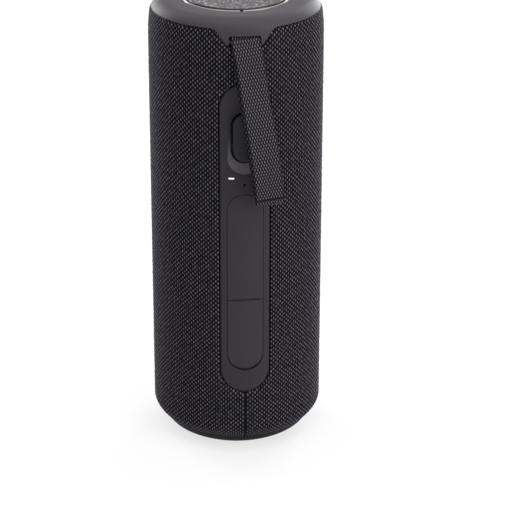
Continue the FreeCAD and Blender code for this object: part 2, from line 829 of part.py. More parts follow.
# ---------------------------------------------------------------- boards
def make_board():
    back = "-board_front + board_thick"
    slab = padded(
        "board_slab",
        "XZ_Plane",
        "board_thick",
        outlines=[
            [
                ("-board_half", "board_low"),
                ("board_half", "board_low"),
                ("board_half", "board_high"),
                ("-board_half", "board_high"),
            ]
        ],
        circles=[(f"{sx} * 15", z, "1.1") for sx in (-1, 1) for z in ("board_low + 3", "board_high - 3")],
    )
    move(slab, y=back)
    jack_gap = box("jack_gap", ("-3.7", "3.7"), ("-31", "-28"), ("aux_z - 3.7", "aux_z + 3.7"))
    node("main_board", cut("board_open", slab, jack_gap))
    chips = [
        ("-9", "86", "6", "6"),
        ("7", "92", "5", "5"),
        ("8", "74", "3.5", "4.5"),
        ("-8", "112", "4.5", "3"),
        ("6", "118", "7", "4"),
    ]
    blocks = [
        box("chip", (f"{x} - {hx}", f"{x} + {hx}"), (back, f"{back} + 1.4"), (f"{z} - {hz}", f"{z} + {hz}"))
        for x, z, hx, hz in chips
    ]
    node("board_chips", group("board_chips", *blocks))
    cans = [
        rod("can", "y", "2.6", (back, f"{back} + 5.4"), x=x, z=z)
        for x, z in (("-12", "60"), ("12", "60"), ("-12", "100"), ("12", "104"))
    ]
    node("board_capacitors", group("board_capacitors", *cans))
    ribbon_y = "-board_front - 0.5"
    rise = box(
        "ribbon_rise", ("9", "15"), (ribbon_y, f"{ribbon_y} + 0.3"), ("board_high - 8", "top_board_z - 0.2")
    )
    run = box("ribbon_run", ("9", "15"), (ribbon_y, "-22"), ("top_board_z - 0.5", "top_board_z - 0.2"))
    node("dial_ribbon", fuse("ribbon_whole", rise, run))


# ---------------------------------------------------------------- acoustic core
def core_prism(name, inset, low, high):
    """The core's section: a round tube flattened for the drivers and for the main board."""
    flats = box(
        f"{name}_flats",
        (f"-core_flat + {inset}", f"core_flat - {inset}"),
        (f"-core_front + {inset}", "45"),
        (low, high),
    )
    return common(name, rod(f"{name}_round", "z", f"core_radius - {inset}", (low, high)), flats)


def make_core(base_screws, driver_screws, lid_screws):
    shell = cut("core_hollow", core_prism("core_outer", "0", "core_low", "core_high"),
                core_prism("core_inner", "core_wall", "core_low + 2.5", "core_high + 1"))
    mouths = group(
        "core_mouths",
        *[
            rod("core_mouth", "x", "port_radius", ("-40", "40"), y="driver_y", z=z)
            for z in ("woofer_z", "passive_z")
        ],
    )
    posts = group(
        "lid_posts",
        *[
            rod("lid_post", "z", "3", ("core_high - 12", "core_high"), x=f"{sx} * 22.4", y=y)
            for sx in (-1, 1)
            for y in ("-14", "19")
        ],
    )
    opened = cut("core_mouthed", shell, mouths)
    inside = common("posts_in", posts, core_prism("post_limit", "0", "core_low", "core_high"))
    posted = fuse("core_posted", opened, inside)
    node("acoustic_core", cut("core_drilled", posted, base_screws, driver_screws, lid_screws))

    seal = cut("seal_open", core_prism("seal_outer_core", "0.3", "core_high", "core_high + 0.8"),
               core_prism("seal_inner_core", "core_wall - 0.2", "core_high - 1", "core_high + 2"))
    node("core_gasket", seal)
    lid_low = "core_high + 0.8"
    lid = core_prism("lid_plate", "0", lid_low, f"{lid_low} + lid_thick")
    stands = [
        rod("board_stand", "z", "3", (f"{lid_low} + lid_thick - 0.5", "top_board_z"), x=x, y=y)
        for x, y in (("22", "12"), ("-22", "12"), ("0", "-18"))
    ]
    node("core_lid", cut("lid_drilled", fuse("lid_whole", lid, *stands), lid_screws))


def make_lid_screws():
    screws = []
    for sx in (-1, 1):
        for y in ("-14", "19"):
            place = {"x": f"{sx} * 22.4", "y": y}
            shank = rod(
                "lid_screw_shank", "z", "screw_radius", ("core_high - 6", "core_high + 3.8"), **place
            )
            head = rod("lid_screw_head", "z", "2", ("core_high + 2.6", "core_high + 3.8"), **place)
            screws.append(fuse("lid_screw", shank, head))
    return node("lid_screws", group("lid_screws", *screws))


def mirrored(name, thing):
    """The piece's twin on the -X side."""
    twin = doc.addObject("Part::Mirroring", name)
    twin.Source = thing
    twin.Normal = FreeCAD.Vector(1, 0, 0)
    twin.Base = FreeCAD.Vector(0, 0, 0)
    return twin


def ring_x(name, outer, inner, span, z):
    """A ring about an axis along X through the driver line."""
    solid = rod(f"{name}_solid", "x", outer, span, y="driver_y", z=z)
    return cut(name, solid, rod(f"{name}_bore", "x", inner, span, y="driver_y", z=z))


def make_driver_screws():
    screws = []
    for z in ("woofer_z", "passive_z"):
        for step in range(4):
            angle = math.radians(45 + 90 * step)
            place = {"y": f"driver_y + 20.6 * {math.cos(angle)}", "z": f"{z} + 20.6 * {math.sin(angle)}"}
            shank = rod(
                "driver_screw_shank", "x", "0.8", ("core_flat - core_wall", "core_flat + 1.6"), **place
            )
            head = rod(
                "driver_screw_head",
                "x",
                "1.3",
                ("core_flat + 0.9", "core_flat + flange_thick + 0.6"),
                **place,
            )
            screws.append(fuse("driver_screw", shank, head))
    right = group("driver_screws_right", *screws)
    return node("driver_screws", group("driver_screws", right, mirrored("driver_screws_left", right)))


def make_drivers(screws):
    face = "core_flat + flange_thick"
    woofer = {"y": "driver_y", "z": "woofer_z"}
    radiator = {"y": "driver_y", "z": "passive_z"}
    flange = ring_x("basket_flange", "flange_radius", "surround_radius", ("core_flat", face), "woofer_z")
    bowl_span = ("core_flat - 12", "core_flat + 0.4")
    bowl_outer = cone("bowl_outer", "x", "magnet_radius + 1", "port_radius - 0.2", bowl_span, **woofer)
    bowl_inner = cone("bowl_inner", "x", "magnet_radius - 0.2", "surround_radius", bowl_span, **woofer)
    back = ring_x(
        "bowl_back", "magnet_radius + 1", "8.2", ("core_flat - 13.2", "core_flat - 11.9"), "woofer_z"
    )
    basket = cut(
        "basket_right", fuse("basket_whole", flange, cut("bowl", bowl_outer, bowl_inner), back), screws
    )
    magnet = ring_x(
        "magnet_right", "magnet_radius", "8.2", ("core_flat - 18", "core_flat - 13.2"), "woofer_z"
    )
    pole = fuse(
        "pole_right",
        rod("pole_plate", "x", "magnet_radius", ("core_flat - 19.6", "core_flat - 18"), **woofer),
        rod("pole_core", "x", "6.4", ("core_flat - 18.2", "core_flat - 12.6"), **woofer),
    )
    coil = ring_x("coil_right", "7.7", "6.9", ("core_flat - 14", "core_flat - 7"), "woofer_z")
    paper_span = ("core_flat - 7.3", "core_flat + 0.2")
    paper = cut(
        "paper",
        cone("paper_outer", "x", "7", "cone_radius", paper_span, **woofer),
        cone("paper_inner", "x", "6.2", "cone_radius - 0.7", paper_span, **woofer),
    )
    dome = rod("dome", "x", "8.6", ("core_flat - 7.1", "core_flat - 5.7"), **woofer)
    diaphragm = fuse("cone_right", paper, dome, coil)
    surround = ring_x(
        "woofer_surround_right",
        "surround_radius - 0.3",
        "cone_radius + cone_gap",
        ("core_flat - 0.2", "core_flat + 1.2"),
        "woofer_z",
    )

    frame = ring_x(
        "passive_frame_right", "flange_radius", "surround_radius", ("core_flat", face), "passive_z"
    )
    sleeve = ring_x(
        "passive_sleeve",
        "port_radius - 0.2",
        "surround_radius - 0.6",
        ("core_flat - 4", "core_flat + 0.4"),
        "passive_z",
    )
    passive_frame = cut("passive_frame_drilled", fuse("passive_frame_whole", frame, sleeve), screws)
    plate = rod(
        "passive_plate_right", "x", "cone_radius", ("core_flat - 2.6", "core_flat - 0.4"), **radiator
    )
    weight = rod("passive_weight", "x", "8", ("core_flat - 5", "core_flat - 2.4"), **radiator)
    passive = fuse("passive_whole_right", plate, weight)
    roll = ring_x(
        "passive_surround_right",
        "surround_radius - 0.65",
        "cone_radius + cone_gap",
        ("core_flat - 2.8", "core_flat + 0.4"),
        "passive_z",
    )

    pieces = {
        "woofer_basket": basket,
        "woofer_magnet": magnet,
        "woofer_pole": pole,
        "woofer_cone": diaphragm,
        "woofer_surround": surround,
        "passive_frame": passive_frame,
        "passive_diaphragm": passive,
        "passive_surround": roll,
    }
    for label, piece in pieces.items():
        node(f"{label}_right", piece)
        node(f"{label}_left", mirrored(f"{label}_left", piece))


def make_battery():
    top = "cell_low + cell_length"
    for label, y in (("battery_cell_front", "cell_front_y"), ("battery_cell_rear", "cell_rear_y")):
        node(label, rod(label, "z", "cell_radius", ("cell_low", top), y=y))
    low_block = box("tray_block", ("-11", "11"), ("-18.2", "23"), ("core_low + 2.5", "cell_low + 8"))
    high_block = box("clamp_block", ("-11", "11"), ("-18.2", "23"), (f"{top} - 8", f"{top} + 2"))
    cells = [
        rod("cell_space", "z", "cell_radius + 0.1", ("cell_low", top), y=y)
        for y in ("cell_front_y", "cell_rear_y")
    ]
    space = group("cell_spaces", *cells)
    node("battery_tray", cut("tray_open", low_block, space))
    node("battery_clamp", cut("clamp_open", high_block, space))
    node("battery_board", box("battery_board", ("-9", "9"), ("-16", "20"), (f"{top} + 2", f"{top} + 3.2")))


base_screw_set = make_base()
lid_screw_set = make_lid_screws()
driver_screw_set = make_driver_screws()
make_outside()
make_cap()
make_dial()
make_strap()
make_spine()
make_cover()
make_ports()
make_board()
make_core(base_screw_set, driver_screw_set, lid_screw_set)
make_drivers(driver_screw_set)
make_battery()

doc.recompute()
for thing in doc.Objects:
    if "Invalid" in thing.State or "Error" in thing.State:
        raise RuntimeError(f"{thing.Label} failed: {thing.State}")
os.makedirs("parts", exist_ok=True)
for label, thing in NODES.items():
    shape = thing.Shape
    if shape.isNull() or not shape.isValid():
        raise RuntimeError(f"{label} has no valid shape")
    shape.exportStep(f"parts/{label}.step")
print(len(NODES), "nodes written")
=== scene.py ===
"""Looks of the portable bluetooth speaker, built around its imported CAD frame.

Everything is in metres in the CAD's own frame: +Z up, the spine and the strap face -Y. Lengths in this
script are written in millimetres and pass through MM where a mesh is made.
"""
import json
import math

import bmesh
import bpy
import numpy as np
from mathutils import Matrix, Vector
from mathutils.geometry import delaunay_2d_cdt


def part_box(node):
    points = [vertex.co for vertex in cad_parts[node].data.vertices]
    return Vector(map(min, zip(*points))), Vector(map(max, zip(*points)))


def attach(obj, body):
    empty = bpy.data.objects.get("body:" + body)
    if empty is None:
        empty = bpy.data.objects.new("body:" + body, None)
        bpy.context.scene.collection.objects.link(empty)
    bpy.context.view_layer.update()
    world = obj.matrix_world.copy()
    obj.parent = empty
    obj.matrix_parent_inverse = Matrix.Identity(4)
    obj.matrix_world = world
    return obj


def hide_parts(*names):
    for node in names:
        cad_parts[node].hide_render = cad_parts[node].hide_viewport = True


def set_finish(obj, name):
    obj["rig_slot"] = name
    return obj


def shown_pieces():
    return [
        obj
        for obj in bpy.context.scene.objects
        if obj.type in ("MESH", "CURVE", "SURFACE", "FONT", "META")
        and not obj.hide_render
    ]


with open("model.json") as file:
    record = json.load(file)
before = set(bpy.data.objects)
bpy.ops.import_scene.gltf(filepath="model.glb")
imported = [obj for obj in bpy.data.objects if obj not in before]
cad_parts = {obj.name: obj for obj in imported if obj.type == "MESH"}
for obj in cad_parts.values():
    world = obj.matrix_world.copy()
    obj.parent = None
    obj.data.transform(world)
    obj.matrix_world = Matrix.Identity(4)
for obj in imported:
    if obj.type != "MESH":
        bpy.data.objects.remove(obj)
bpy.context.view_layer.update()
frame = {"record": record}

MM = 0.001
FAR = 9.0


def box_mm(node):
    """Lowest and highest corner of a CAD node in millimetres."""
    low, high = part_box(node)
    return low / MM, high / MM


# ---------------------------------------------------------------- sizes, from the frame
CLOTH_LOW, CLOTH_HIGH = box_mm("grille_fabric")
SPINE_LOW, SPINE_HIGH = box_mm("spine_panel")
COVER_LOW, COVER_HIGH = box_mm("port_cover")
FLAP_LOW, FLAP_HIGH = box_mm("port_flap")
LENS_LOW, LENS_HIGH = box_mm("status_lens")
CAP_TOP = box_mm("top_cap")[1].z
WELL_R = box_mm("dial_bezel")[1].x
DIAL_HIGH = box_mm("volume_dial")[1]

BODY_R = CLOTH_HIGH.x
HEM_Z = CLOTH_LOW.z
SEAM_Z = CLOTH_HIGH.z
DIAL_FACE_R = DIAL_HIGH.x - 0.25
DIAL_RIM = 0.5
DIAL_DISH = 0.85
DIAL_SKIRT = 3.3

# knitted cloth
BEAD_COLUMNS = 110
BEAD_TALL = 2.25
BEAD_STEPS = 4
BEAD_HEIGHT = 0.2
BEAD_UNEVEN = 0.18
RIDGE = 0.55
CLOTH_R = BODY_R - 0.12
HEM_R = 36.5
CURL_TALL = 7.0
TAPER_TALL = 13.1
TAPER_IN = 1.0
EDGE_ROLL = 0.55
SEAM_BEADS = 0.18
SEWN_DEEP, SEWN_WIDE = 0.35, 0.45

# base
PAD_R = box_mm("foot_pad")[1].x
BASE_BULGE = 0.7

# spine
SPINE_R = 40.6
SPINE_HALF = SPINE_HIGH.x - 0.1
SPINE_GAP = 0.65
# distance outside the spine opening of the cloth's painted highlight line
RIM_HIGHLIGHT_OUT = 0.75
CLOTH_TURN_IN = 1.4
DISH_HALF = 8.4
DISH_LOW, DISH_HIGH = 144.1, 179.5
DISH_R = 39.2
DISH_SLOPE = 4.2
KEY_HALF = 5.55
KEY_BOTTOM, KEY_TOP = 150.3, 173.3
KEY_GAP = 0.8
KEY_R = 40.8
COVER_HALF = COVER_HIGH.x
COVER_GAP = 0.15
COVER_R = 40.8
CREASE_CORNER = 0.5
CREASE_HALF = 6.6
CREASE_DEEP = 0.4
PULL_GAP = 0.95
SEAT_R = 39.2
PORT_HALF = 6.7
PORT_LOW, PORT_HIGH = 49.9, 75.0
SCOOP_UP, SCOOP_R, SCOOP_DEEP = 3.2, 5.6, 0.75
MIC_X, MIC_Z, MIC_R = -0.3, 139.1, 0.55
LENS_HALF_WIDE, LENS_HALF_TALL = 1.28, 0.33
LAMP_GAP = 0.08

# tab of the cap and its slot
CAP_R = 39.95
SHOULDER = 7.4
SHOULDER_LOW = 211.3
TAB_LOW = 205.3
TAB_HALF_LOW = 8.3
TAB_LEAN = (0.8538, -0.5206)
TAB_CORNER = 1.3
TAB_FILLET = 2.6
SLOT_HALF = 7.25
SLOT_LOW = 202.8
SLOT_HIGH = 210.1
SLOT_DEEP = 3.6
WELL_DEPTH = 4.2

# strap
WEBBING_HALF = 6.6
WEBBING_THICK = 1.25
YARN_WIDE, YARN_LONG = 1.25, 3.0
# height above the loop's lowest point, and width, of the painted shade line at the strap's crease
CREASE_UP = 3.3
FOLD_SHADE_WIDE = 0.6


# ---------------------------------------------------------------- shapes in the plane
def rounded(x, z, half, low, high, r_low, r_high, centre=0.0):
    """Distance to an upright slab with round ends, negative inside."""
    middle, tall = (low + high) / 2, (high - low) / 2
    r = np.where(z > middle, r_high, r_low)
    qx = np.abs(x - centre) - half + r
    qz = np.abs(z - middle) - tall + r
    return np.minimum(np.maximum(qx, qz), 0) + np.hypot(np.maximum(qx, 0), np.maximum(qz, 0)) - r


def slab_loop(half, low, high, r_low, r_high, centre=0.0, inset=0.0, step=0.5):
    """Points along the outline of the same slab, drawn in by inset."""
    half, low, high = half - inset, low + inset, high - inset
    r_low, r_high = max(r_low - inset, 0.02), max(r_high - inset, 0.02)
    points = []
    for cx, cz, r, start in (
        (half - r_high, high - r_high, r_high, 0),
        (r_high - half, high - r_high, r_high, 90),
        (r_low - half, low + r_low, r_low, 180),
        (half - r_low, low + r_low, r_low, 270),
    ):
        count = max(3, int(r * math.pi / 2 / step) + 2)
        for k in range(count):
            a = math.radians(start + 90 * k / (count - 1))
            points.append((centre + cx + r * math.cos(a), cz + r * math.sin(a)))
    filled = []
    for here, there in zip(points, points[1:] + points[:1]):
        gap = math.dist(here, there)
        if gap < 1e-6:
            continue
        parts = max(1, round(gap / (step * 2)))
        filled += [
            (here[0] + (there[0] - here[0]) * k / parts, here[1] + (there[1] - here[1]) * k / parts)
            for k in range(parts)
        ]
    return filled


def tab_shape(x, z, grow=0.0):
    """Distance to the lower edge of the cap with its tab, negative inside the cap's plastic."""
    side = (np.abs(x) - TAB_HALF_LOW) * TAB_LEAN[0] + (z - TAB_LOW) * TAB_LEAN[1] - grow
    floor = TAB_LOW - z - grow
    corner = np.hypot(np.maximum(side + TAB_CORNER, 0), np.maximum(floor + TAB_CORNER, 0)) - TAB_CORNER
    tab = np.maximum(corner, np.maximum(side, floor))
    rim = SEAM_Z + 0.1 - z - grow
    blend = np.clip(0.5 + 0.5 * (tab - rim) / TAB_FILLET, 0, 1)
    return tab * (1 - blend) + rim * blend - TAB_FILLET * blend * (1 - blend)


def spine_window(x, z):
    """Distance to the opening in the cloth round the spine, negative inside."""
    half = SPINE_HALF + SPINE_GAP
    return rounded(x, z, half, SPINE_LOW.z - SPINE_GAP, SPINE_HIGH.z + SPINE_GAP, half, half)


def slot_shape(x, z):
    """Distance to the strap's slot in the tab, negative inside."""
    return rounded(x, z, SLOT_HALF, SLOT_LOW, SLOT_HIGH, 0.3, 0.9)


def edge_drop(distance, width, depth):
    """How far a rounded edge falls, from depth at the edge to nothing at width inside it."""
    t = np.clip(1 - distance / width, 0, 1)
    return depth * (1 - np.sqrt(np.clip(1 - t * t, 0, 1)))


def smooth(t):
    """A soft step from 0 to 1."""
    t = np.clip(t, 0, 1)
    return t * t * (3 - 2 * t)


# ---------------------------------------------------------------- mesh helpers
def new_piece(name, verts, faces, uv=None):
    """A smooth-shaded mesh object from points in millimetres."""
    mesh = bpy.data.meshes.new(name)
    mesh.from_pydata((np.asarray(verts, float) * MM).tolist(), [], [list(map(int, f)) for f in faces])
    mesh.validate()
    mesh.update()
    mesh.shade_smooth()
    if uv is not None:
        layer = mesh.uv_layers.new(name="weave")
        index = np.empty(len(mesh.loops), int)
        mesh.loops.foreach_get("vertex_index", index)
        layer.data.foreach_set("uv", np.asarray(uv, float)[index].ravel())
    piece = bpy.data.objects.new(name, mesh)
    bpy.context.scene.collection.objects.link(piece)
    return piece


def facing_out(piece):
    """Turns every face of the piece the same way, outwards."""
    bm = bmesh.new()
    bm.from_mesh(piece.data)
    bmesh.ops.recalc_face_normals(bm, faces=bm.faces)
    bm.to_mesh(piece.data)
    bm.free()
    return piece


def on_body(x, z, r):
    """A point on the -Y side of the cylinder, x across and z up, at radius r."""
    return np.stack([x, -np.sqrt(r * r - x * x), z], -1)


def quads(rows, columns, closed=False):
    """Faces of a grid of points stored row by row."""
    j, i = np.meshgrid(np.arange(rows - 1), np.arange(columns if closed else columns - 1), indexing="ij")
    k = (i + 1) % columns
    corners = [j * columns + i, j * columns + k, (j + 1) * columns + k, (j + 1) * columns + i]
    return np.stack(corners, -1).reshape(-1, 4)


def spun(name, profile, steps=192):
    """A full turn of a profile of (radius, height) points about Z."""
    profile = np.asarray(profile, float)
    a = np.linspace(0, 2 * np.pi, steps, endpoint=False)
    r, z = profile[:, :1], np.repeat(profile[:, 1:], steps, 1)
    verts = np.stack([r * np.sin(a), -r * np.cos(a), z], -1).reshape(-1, 3)
    return facing_out(new_piece(name, verts, quads(len(profile), steps, closed=True)))


def open_edges(faces):
    """Edges with one face, as an array of vertex pairs."""
    faces = np.asarray(faces)
    pairs = np.concatenate([faces[:, [k, (k + 1) % faces.shape[1]]] for k in range(faces.shape[1])])
    ordered = np.sort(pairs, 1)
    _, first, count = np.unique(ordered, axis=0, return_index=True, return_counts=True)
    return pairs[first[count == 1]]


def rim_walls(rim, count):
    """Faces from each rim edge to copies of its points, which follow the first count points.

    Gives the faces and the points to copy.
    """
    used = np.unique(rim)
    below = np.full(count, -1)
    below[used] = count + np.arange(len(used))
    return np.stack([rim[:, 1], rim[:, 0], below[rim[:, 0]], below[rim[:, 1]]], -1), used


def to_outline(x, z, shape, rounds=4):
    """Moves points onto the line where shape is zero."""
    h = 0.01
    for _ in range(rounds):
        d = shape(x, z)
        gx = (shape(x + h, z) - shape(x - h, z)) / (2 * h)
        gz = (shape(x, z + h) - shape(x, z - h)) / (2 * h)
        size = np.maximum(gx * gx + gz * gz, 0.2)
        x, z = x - d * gx / size, z - d * gz / size
    return x, z


# ---------------------------------------------------------------- knitted sleeve
def cloth_profile():
    """Radius and height up the sleeve, from the hem's curl to the seam, at even steps of length."""
    z = np.concatenate([
        HEM_Z + CURL_TALL * (1 - np.cos(np.linspace(0, np.pi / 2, 60))),
        np.linspace(HEM_Z + CURL_TALL, SEAM_Z, 300)[1:],
    ])
    curl = np.clip(1 - (z - HEM_Z) / CURL_TALL, 0, 1)
    taper = np.clip(1 - (SEAM_Z - z) / TAPER_TALL, 0, 1)
    r = CLOTH_R - (BODY_R - HEM_R) * curl ** 1.6 - TAPER_IN * taper ** 2
    length = np.concatenate([[0], np.cumsum(np.hypot(np.diff(r), np.diff(z)))])
    rows = int(round(length[-1] / (BEAD_TALL / 2))) + 1
    even = np.linspace(0, length[-1], rows)
    return np.interp(even, length, r), np.interp(even, length, z), length[-1]


def make_cloth():
    """The knitted sleeve: staggered beads all round, open at the spine and at the cap's tab."""
    rng = np.random.default_rng(7)
    r_row, z_row, length = cloth_profile()
    rows, columns = len(r_row), BEAD_COLUMNS * BEAD_STEPS + 1
    turn = np.linspace(0, 1, columns)
    row = np.arange(rows)
    a = 2 * np.pi * turn[None, :] + np.zeros((rows, 1))
    z = np.repeat(z_row[:, None], columns, 1)
    lattice = np.cos(2 * np.pi * BEAD_COLUMNS * turn)[None, :] * np.where(row % 2 == 0, 1, -1)[:, None]
    lattice = 0.8 * lattice + RIDGE * np.cos(4 * np.pi * BEAD_COLUMNS * turn)[None, :]

    def hole(x, up):
        return np.minimum(spine_window(x, up), tab_shape(x, up, 0.25))

    front = np.cos(a) > 0.5
    x = BODY_R * np.sin(a)
    faces = quads(rows, columns)
    x_flat, z_flat, a_flat = x.ravel(), z.ravel(), a.ravel()
    centre_x, centre_z = x_flat[faces].mean(1), z_flat[faces].mean(1)
    kept = (hole(centre_x, centre_z) > 0) | ~front.ravel()[faces].all(1)
    faces = faces[kept]
    rim = open_edges(faces)
    near = np.zeros(len(x_flat), bool)
    near[rim.ravel()] = True
    near &= front.ravel() & (np.abs(hole(x_flat, z_flat)) < 1.6) & (np.abs(x_flat) > 0.05)
    x_flat[near], z_flat[near] = to_outline(x_flat[near], z_flat[near], hole)
    centred = front.ravel() & (np.abs(x_flat) <= 0.05)
    on_rim = np.zeros(len(x_flat), bool)
    on_rim[rim.ravel()] = True
    centred &= on_rim & (np.abs(hole(x_flat, z_flat)) < 1.6)
    _, z_flat[centred] = to_outline(x_flat[centred], z_flat[centred], hole)
    side = np.where(a_flat > np.pi, -1, 1)
    moved = np.arcsin(np.clip(x_flat / BODY_R, -1, 1))
    a_flat[near] = np.where(side[near] > 0, moved[near], 2 * np.pi + moved[near])

    distance = np.clip(np.where(front.ravel(), hole(x_flat, z_flat), FAR), 0, FAR)
    top_roll = edge_drop(SEAM_Z - z_flat, 1.3, EDGE_ROLL)
    fade = smooth(distance / 1.2) * smooth((SEAM_Z - z_flat) / 1.2)
    bump = BEAD_HEIGHT * lattice.ravel() * fade
    bump *= 1 + BEAD_UNEVEN * rng.standard_normal(len(bump))
    r_mean = np.interp(z_flat, z_row, r_row)
    sew = np.minimum(a_flat, 2 * np.pi - a_flat) * BODY_R
    sewn = SEWN_DEEP * np.exp(-(sew / SEWN_WIDE) ** 2) * (z_flat < SPINE_LOW.z)
    r = r_mean + bump - edge_drop(distance, 1.1, EDGE_ROLL) - top_roll - sewn
    verts = np.stack([r * np.sin(a_flat), -r * np.cos(a_flat), z_flat], -1)
    u = np.repeat((turn * BEAD_COLUMNS)[None, :], rows, 0).ravel()
    v = np.repeat((row / 2)[:, None], columns, 1).ravel()
    uv = np.stack([u, v], -1)

    rim = open_edges(faces)
    inner = rim[(front.ravel()[rim].all(1)) & (distance[rim].max(1) < 0.4)]
    walls, used = rim_walls(inner, len(verts))
    inward = np.stack([np.sin(a_flat[used]), -np.cos(a_flat[used]), 0 * a_flat[used]], -1)
    verts = np.concatenate([verts, verts[used] - CLOTH_TURN_IN * inward])
    uv = np.concatenate([uv, uv[used] + 0.3])
    piece = new_piece("grille_cloth", verts, np.concatenate([faces, walls]), uv)
    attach(piece, "cabinet")
    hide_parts("grille_fabric")
    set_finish(piece, "grille_cloth")
    return piece


def make_base_ring():
    """The base moulding: a curved ring below the hem, closed by a flat underside round the foot."""
    profile = [(PAD_R + 0.12, 2.1), (PAD_R + 0.12, 0.95), (PAD_R + 0.45, 0.9), (PAD_R + 1.0, 0.93)]
    low, high = np.array([PAD_R + 1.4, 1.0]), np.array([HEM_R - 0.25, HEM_Z - 0.05])
    for k in range(1, 15):
        t = k / 14
        bulge = BASE_BULGE * math.sin(math.pi * t)
        profile.append(
            (low[0] + (high[0] - low[0]) * t + bulge * 0.7, low[1] + (high[1] - low[1]) * t - bulge * 0.6)
        )
    profile += [(HEM_R - 0.55, HEM_Z + 0.35), (HEM_R - 1.0, HEM_Z + 1.2), (HEM_R - 2.6, HEM_Z + 1.2)]
    profile += [(PAD_R + 0.6, 3.2), (20.0, 3.2), (0.02, 3.2), (0.02, 2.25), (PAD_R - 1.0, 2.22)]
    piece = spun("base_ring", profile)
    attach(piece, "cabinet")
    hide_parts("base_cap")
    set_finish(piece, "base_plastic")
    return piece


# ---------------------------------------------------------------- moulded pieces on the spine
def region(name, outer, holes, height, skirt=1.6, step=1.6, insets=(0, 0.12, 0.3, 0.6, 1.1)):
    """A curved plate: the area inside the outer slab and outside the hole slabs, at radius height(x, z).

    Loops drawn in from each outline keep the rounded edges clean, and a skirt closes every edge.
    """
    points, edges = [], []

    def add_loop(loop):
        start = len(points)
        points.extend(loop)
        edges.extend((start + k, start + (k + 1) % len(loop)) for k in range(len(loop)))

    for inset in insets:
        add_loop(slab_loop(*outer, inset=inset))
    for hole in holes:
        for inset in insets if hole[0] > 2 else insets[:3]:
            add_loop(slab_loop(*hole, inset=-inset, step=0.5 if hole[0] > 2 else 0.2))
    half, low, high = outer[:3]
    centre = outer[5] if len(outer) > 5 else 0.0
    margin = insets[-1] + step * 0.45
    grid_x = centre + np.arange(-half + margin, half - margin / 2, step)
    grid_z = np.arange(low + margin, high - margin / 2, step)
    gx, gz = (g.ravel() for g in np.meshgrid(grid_x, grid_z))
    keep = rounded(gx, gz, *outer) < -margin
    for hole in holes:
        keep &= rounded(gx, gz, *hole) > margin
    points.extend(zip(gx[keep], gz[keep]))
    flat, _, faces, origin, _, _ = delaunay_2d_cdt([Vector(p) for p in points], edges, [], 0, 1e-5)
    xy = np.array([tuple(p) for p in flat])
    tri = np.array([f for f in faces if len(f) == 3])
    cx, cz = xy[tri, 0].mean(1), xy[tri, 1].mean(1)
    inside = rounded(cx, cz, *outer) < 0
    for hole in holes:
        inside &= rounded(cx, cz, *hole) > 0
    tri = tri[inside]
    verts = on_body(xy[:, 0], xy[:, 1], height(xy[:, 0], xy[:, 1]))
    walls, used = rim_walls(open_edges(tri), len(verts))
    deep = on_body(xy[used, 0], xy[used, 1], height(xy[used, 0], xy[used, 1]) - skirt)
    return new_piece(name, np.concatenate([verts, deep]), tri.tolist() + walls.tolist())


def make_spine():
    """The spine panel: a rounded plate with a dished seat for the key and a shallow bed for the cover."""
    outer = (SPINE_HALF, SPINE_LOW.z, SPINE_HIGH.z, SPINE_HALF, SPINE_HALF)
    key_half = KEY_HALF + KEY_GAP
    key_hole = (key_half, KEY_BOTTOM - KEY_GAP, KEY_TOP + KEY_GAP, key_half, key_half)
    cover_half = COVER_HALF + COVER_GAP
    cover_hole = (cover_half, FLAP_LOW.z - PULL_GAP, COVER_HIGH.z + COVER_GAP, cover_half, cover_half)
    mic_hole = (MIC_R, MIC_Z - MIC_R, MIC_Z + MIC_R, MIC_R, MIC_R, MIC_X)
    lamp_x, lamp_z = (LENS_HIGH.x + LENS_LOW.x) / 2, (LENS_HIGH.z + LENS_LOW.z) / 2
    lamp_half = LENS_HALF_TALL + LAMP_GAP
    lamp_hole = (LENS_HALF_WIDE + LAMP_GAP, lamp_z - lamp_half, lamp_z + lamp_half, 0.2, 0.2, lamp_x)
    holes = [key_hole, cover_hole, mic_hole, lamp_hole]

    def height(x, z):
        inside = -rounded(x, z, DISH_HALF, DISH_LOW, DISH_HIGH, DISH_HALF, DISH_HALF)
        r = SPINE_R - (SPINE_R - DISH_R) * np.clip(inside / DISH_SLOPE, 0, 1) ** 0.8
        r = r - edge_drop(-rounded(x, z, *outer), 1.0, 0.8)
        r = r - edge_drop(rounded(x, z, *key_hole), 0.5, 0.3)
        r = r - edge_drop(rounded(x, z, *cover_hole), 0.35, 0.12)
        r = r - edge_drop(rounded(x, z, *lamp_hole), 0.25, 0.12)
        return r - edge_drop(rounded(x, z, *mic_hole), 0.3, 0.2)

    piece = region("spine_shell", outer, holes, height, insets=(0, 0.12, 0.3, 0.6, 1.1, 1.9))
    seat = (cover_hole[0] + 0.1, cover_hole[1] - 0.1, cover_hole[2] + 0.1, *cover_hole[3:])
    port = (PORT_HALF, PORT_LOW, PORT_HIGH, PORT_HALF, PORT_HALF)
    floor = region("cover_seat", seat, [port], lambda x, z: SEAT_R + 0 * x, skirt=1.0)
    with bpy.context.temp_override(active_object=piece, selected_editable_objects=[piece, floor]):
        bpy.ops.object.join()
    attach(piece, "cabinet")
    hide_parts("spine_panel")
    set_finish(piece, "spine_plastic")
    return facing_out(piece)


def make_key():
    """The power key: a crowned pill with a soft edge."""
    outer = (KEY_HALF, KEY_BOTTOM, KEY_TOP, KEY_HALF, KEY_HALF)

    def height(x, z):
        inside = -rounded(x, z, *outer)
        return KEY_R - edge_drop(inside, 1.3, 0.75) - 0.18 * np.clip(1 - inside / KEY_HALF, 0, 1) ** 2

    piece = region("key_cap", outer, [], height, insets=(0, 0.1, 0.25, 0.5, 0.9, 1.4))
    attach(piece, "key")
    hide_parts("power_key")
    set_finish(piece, "key_plastic")
    return facing_out(piece)


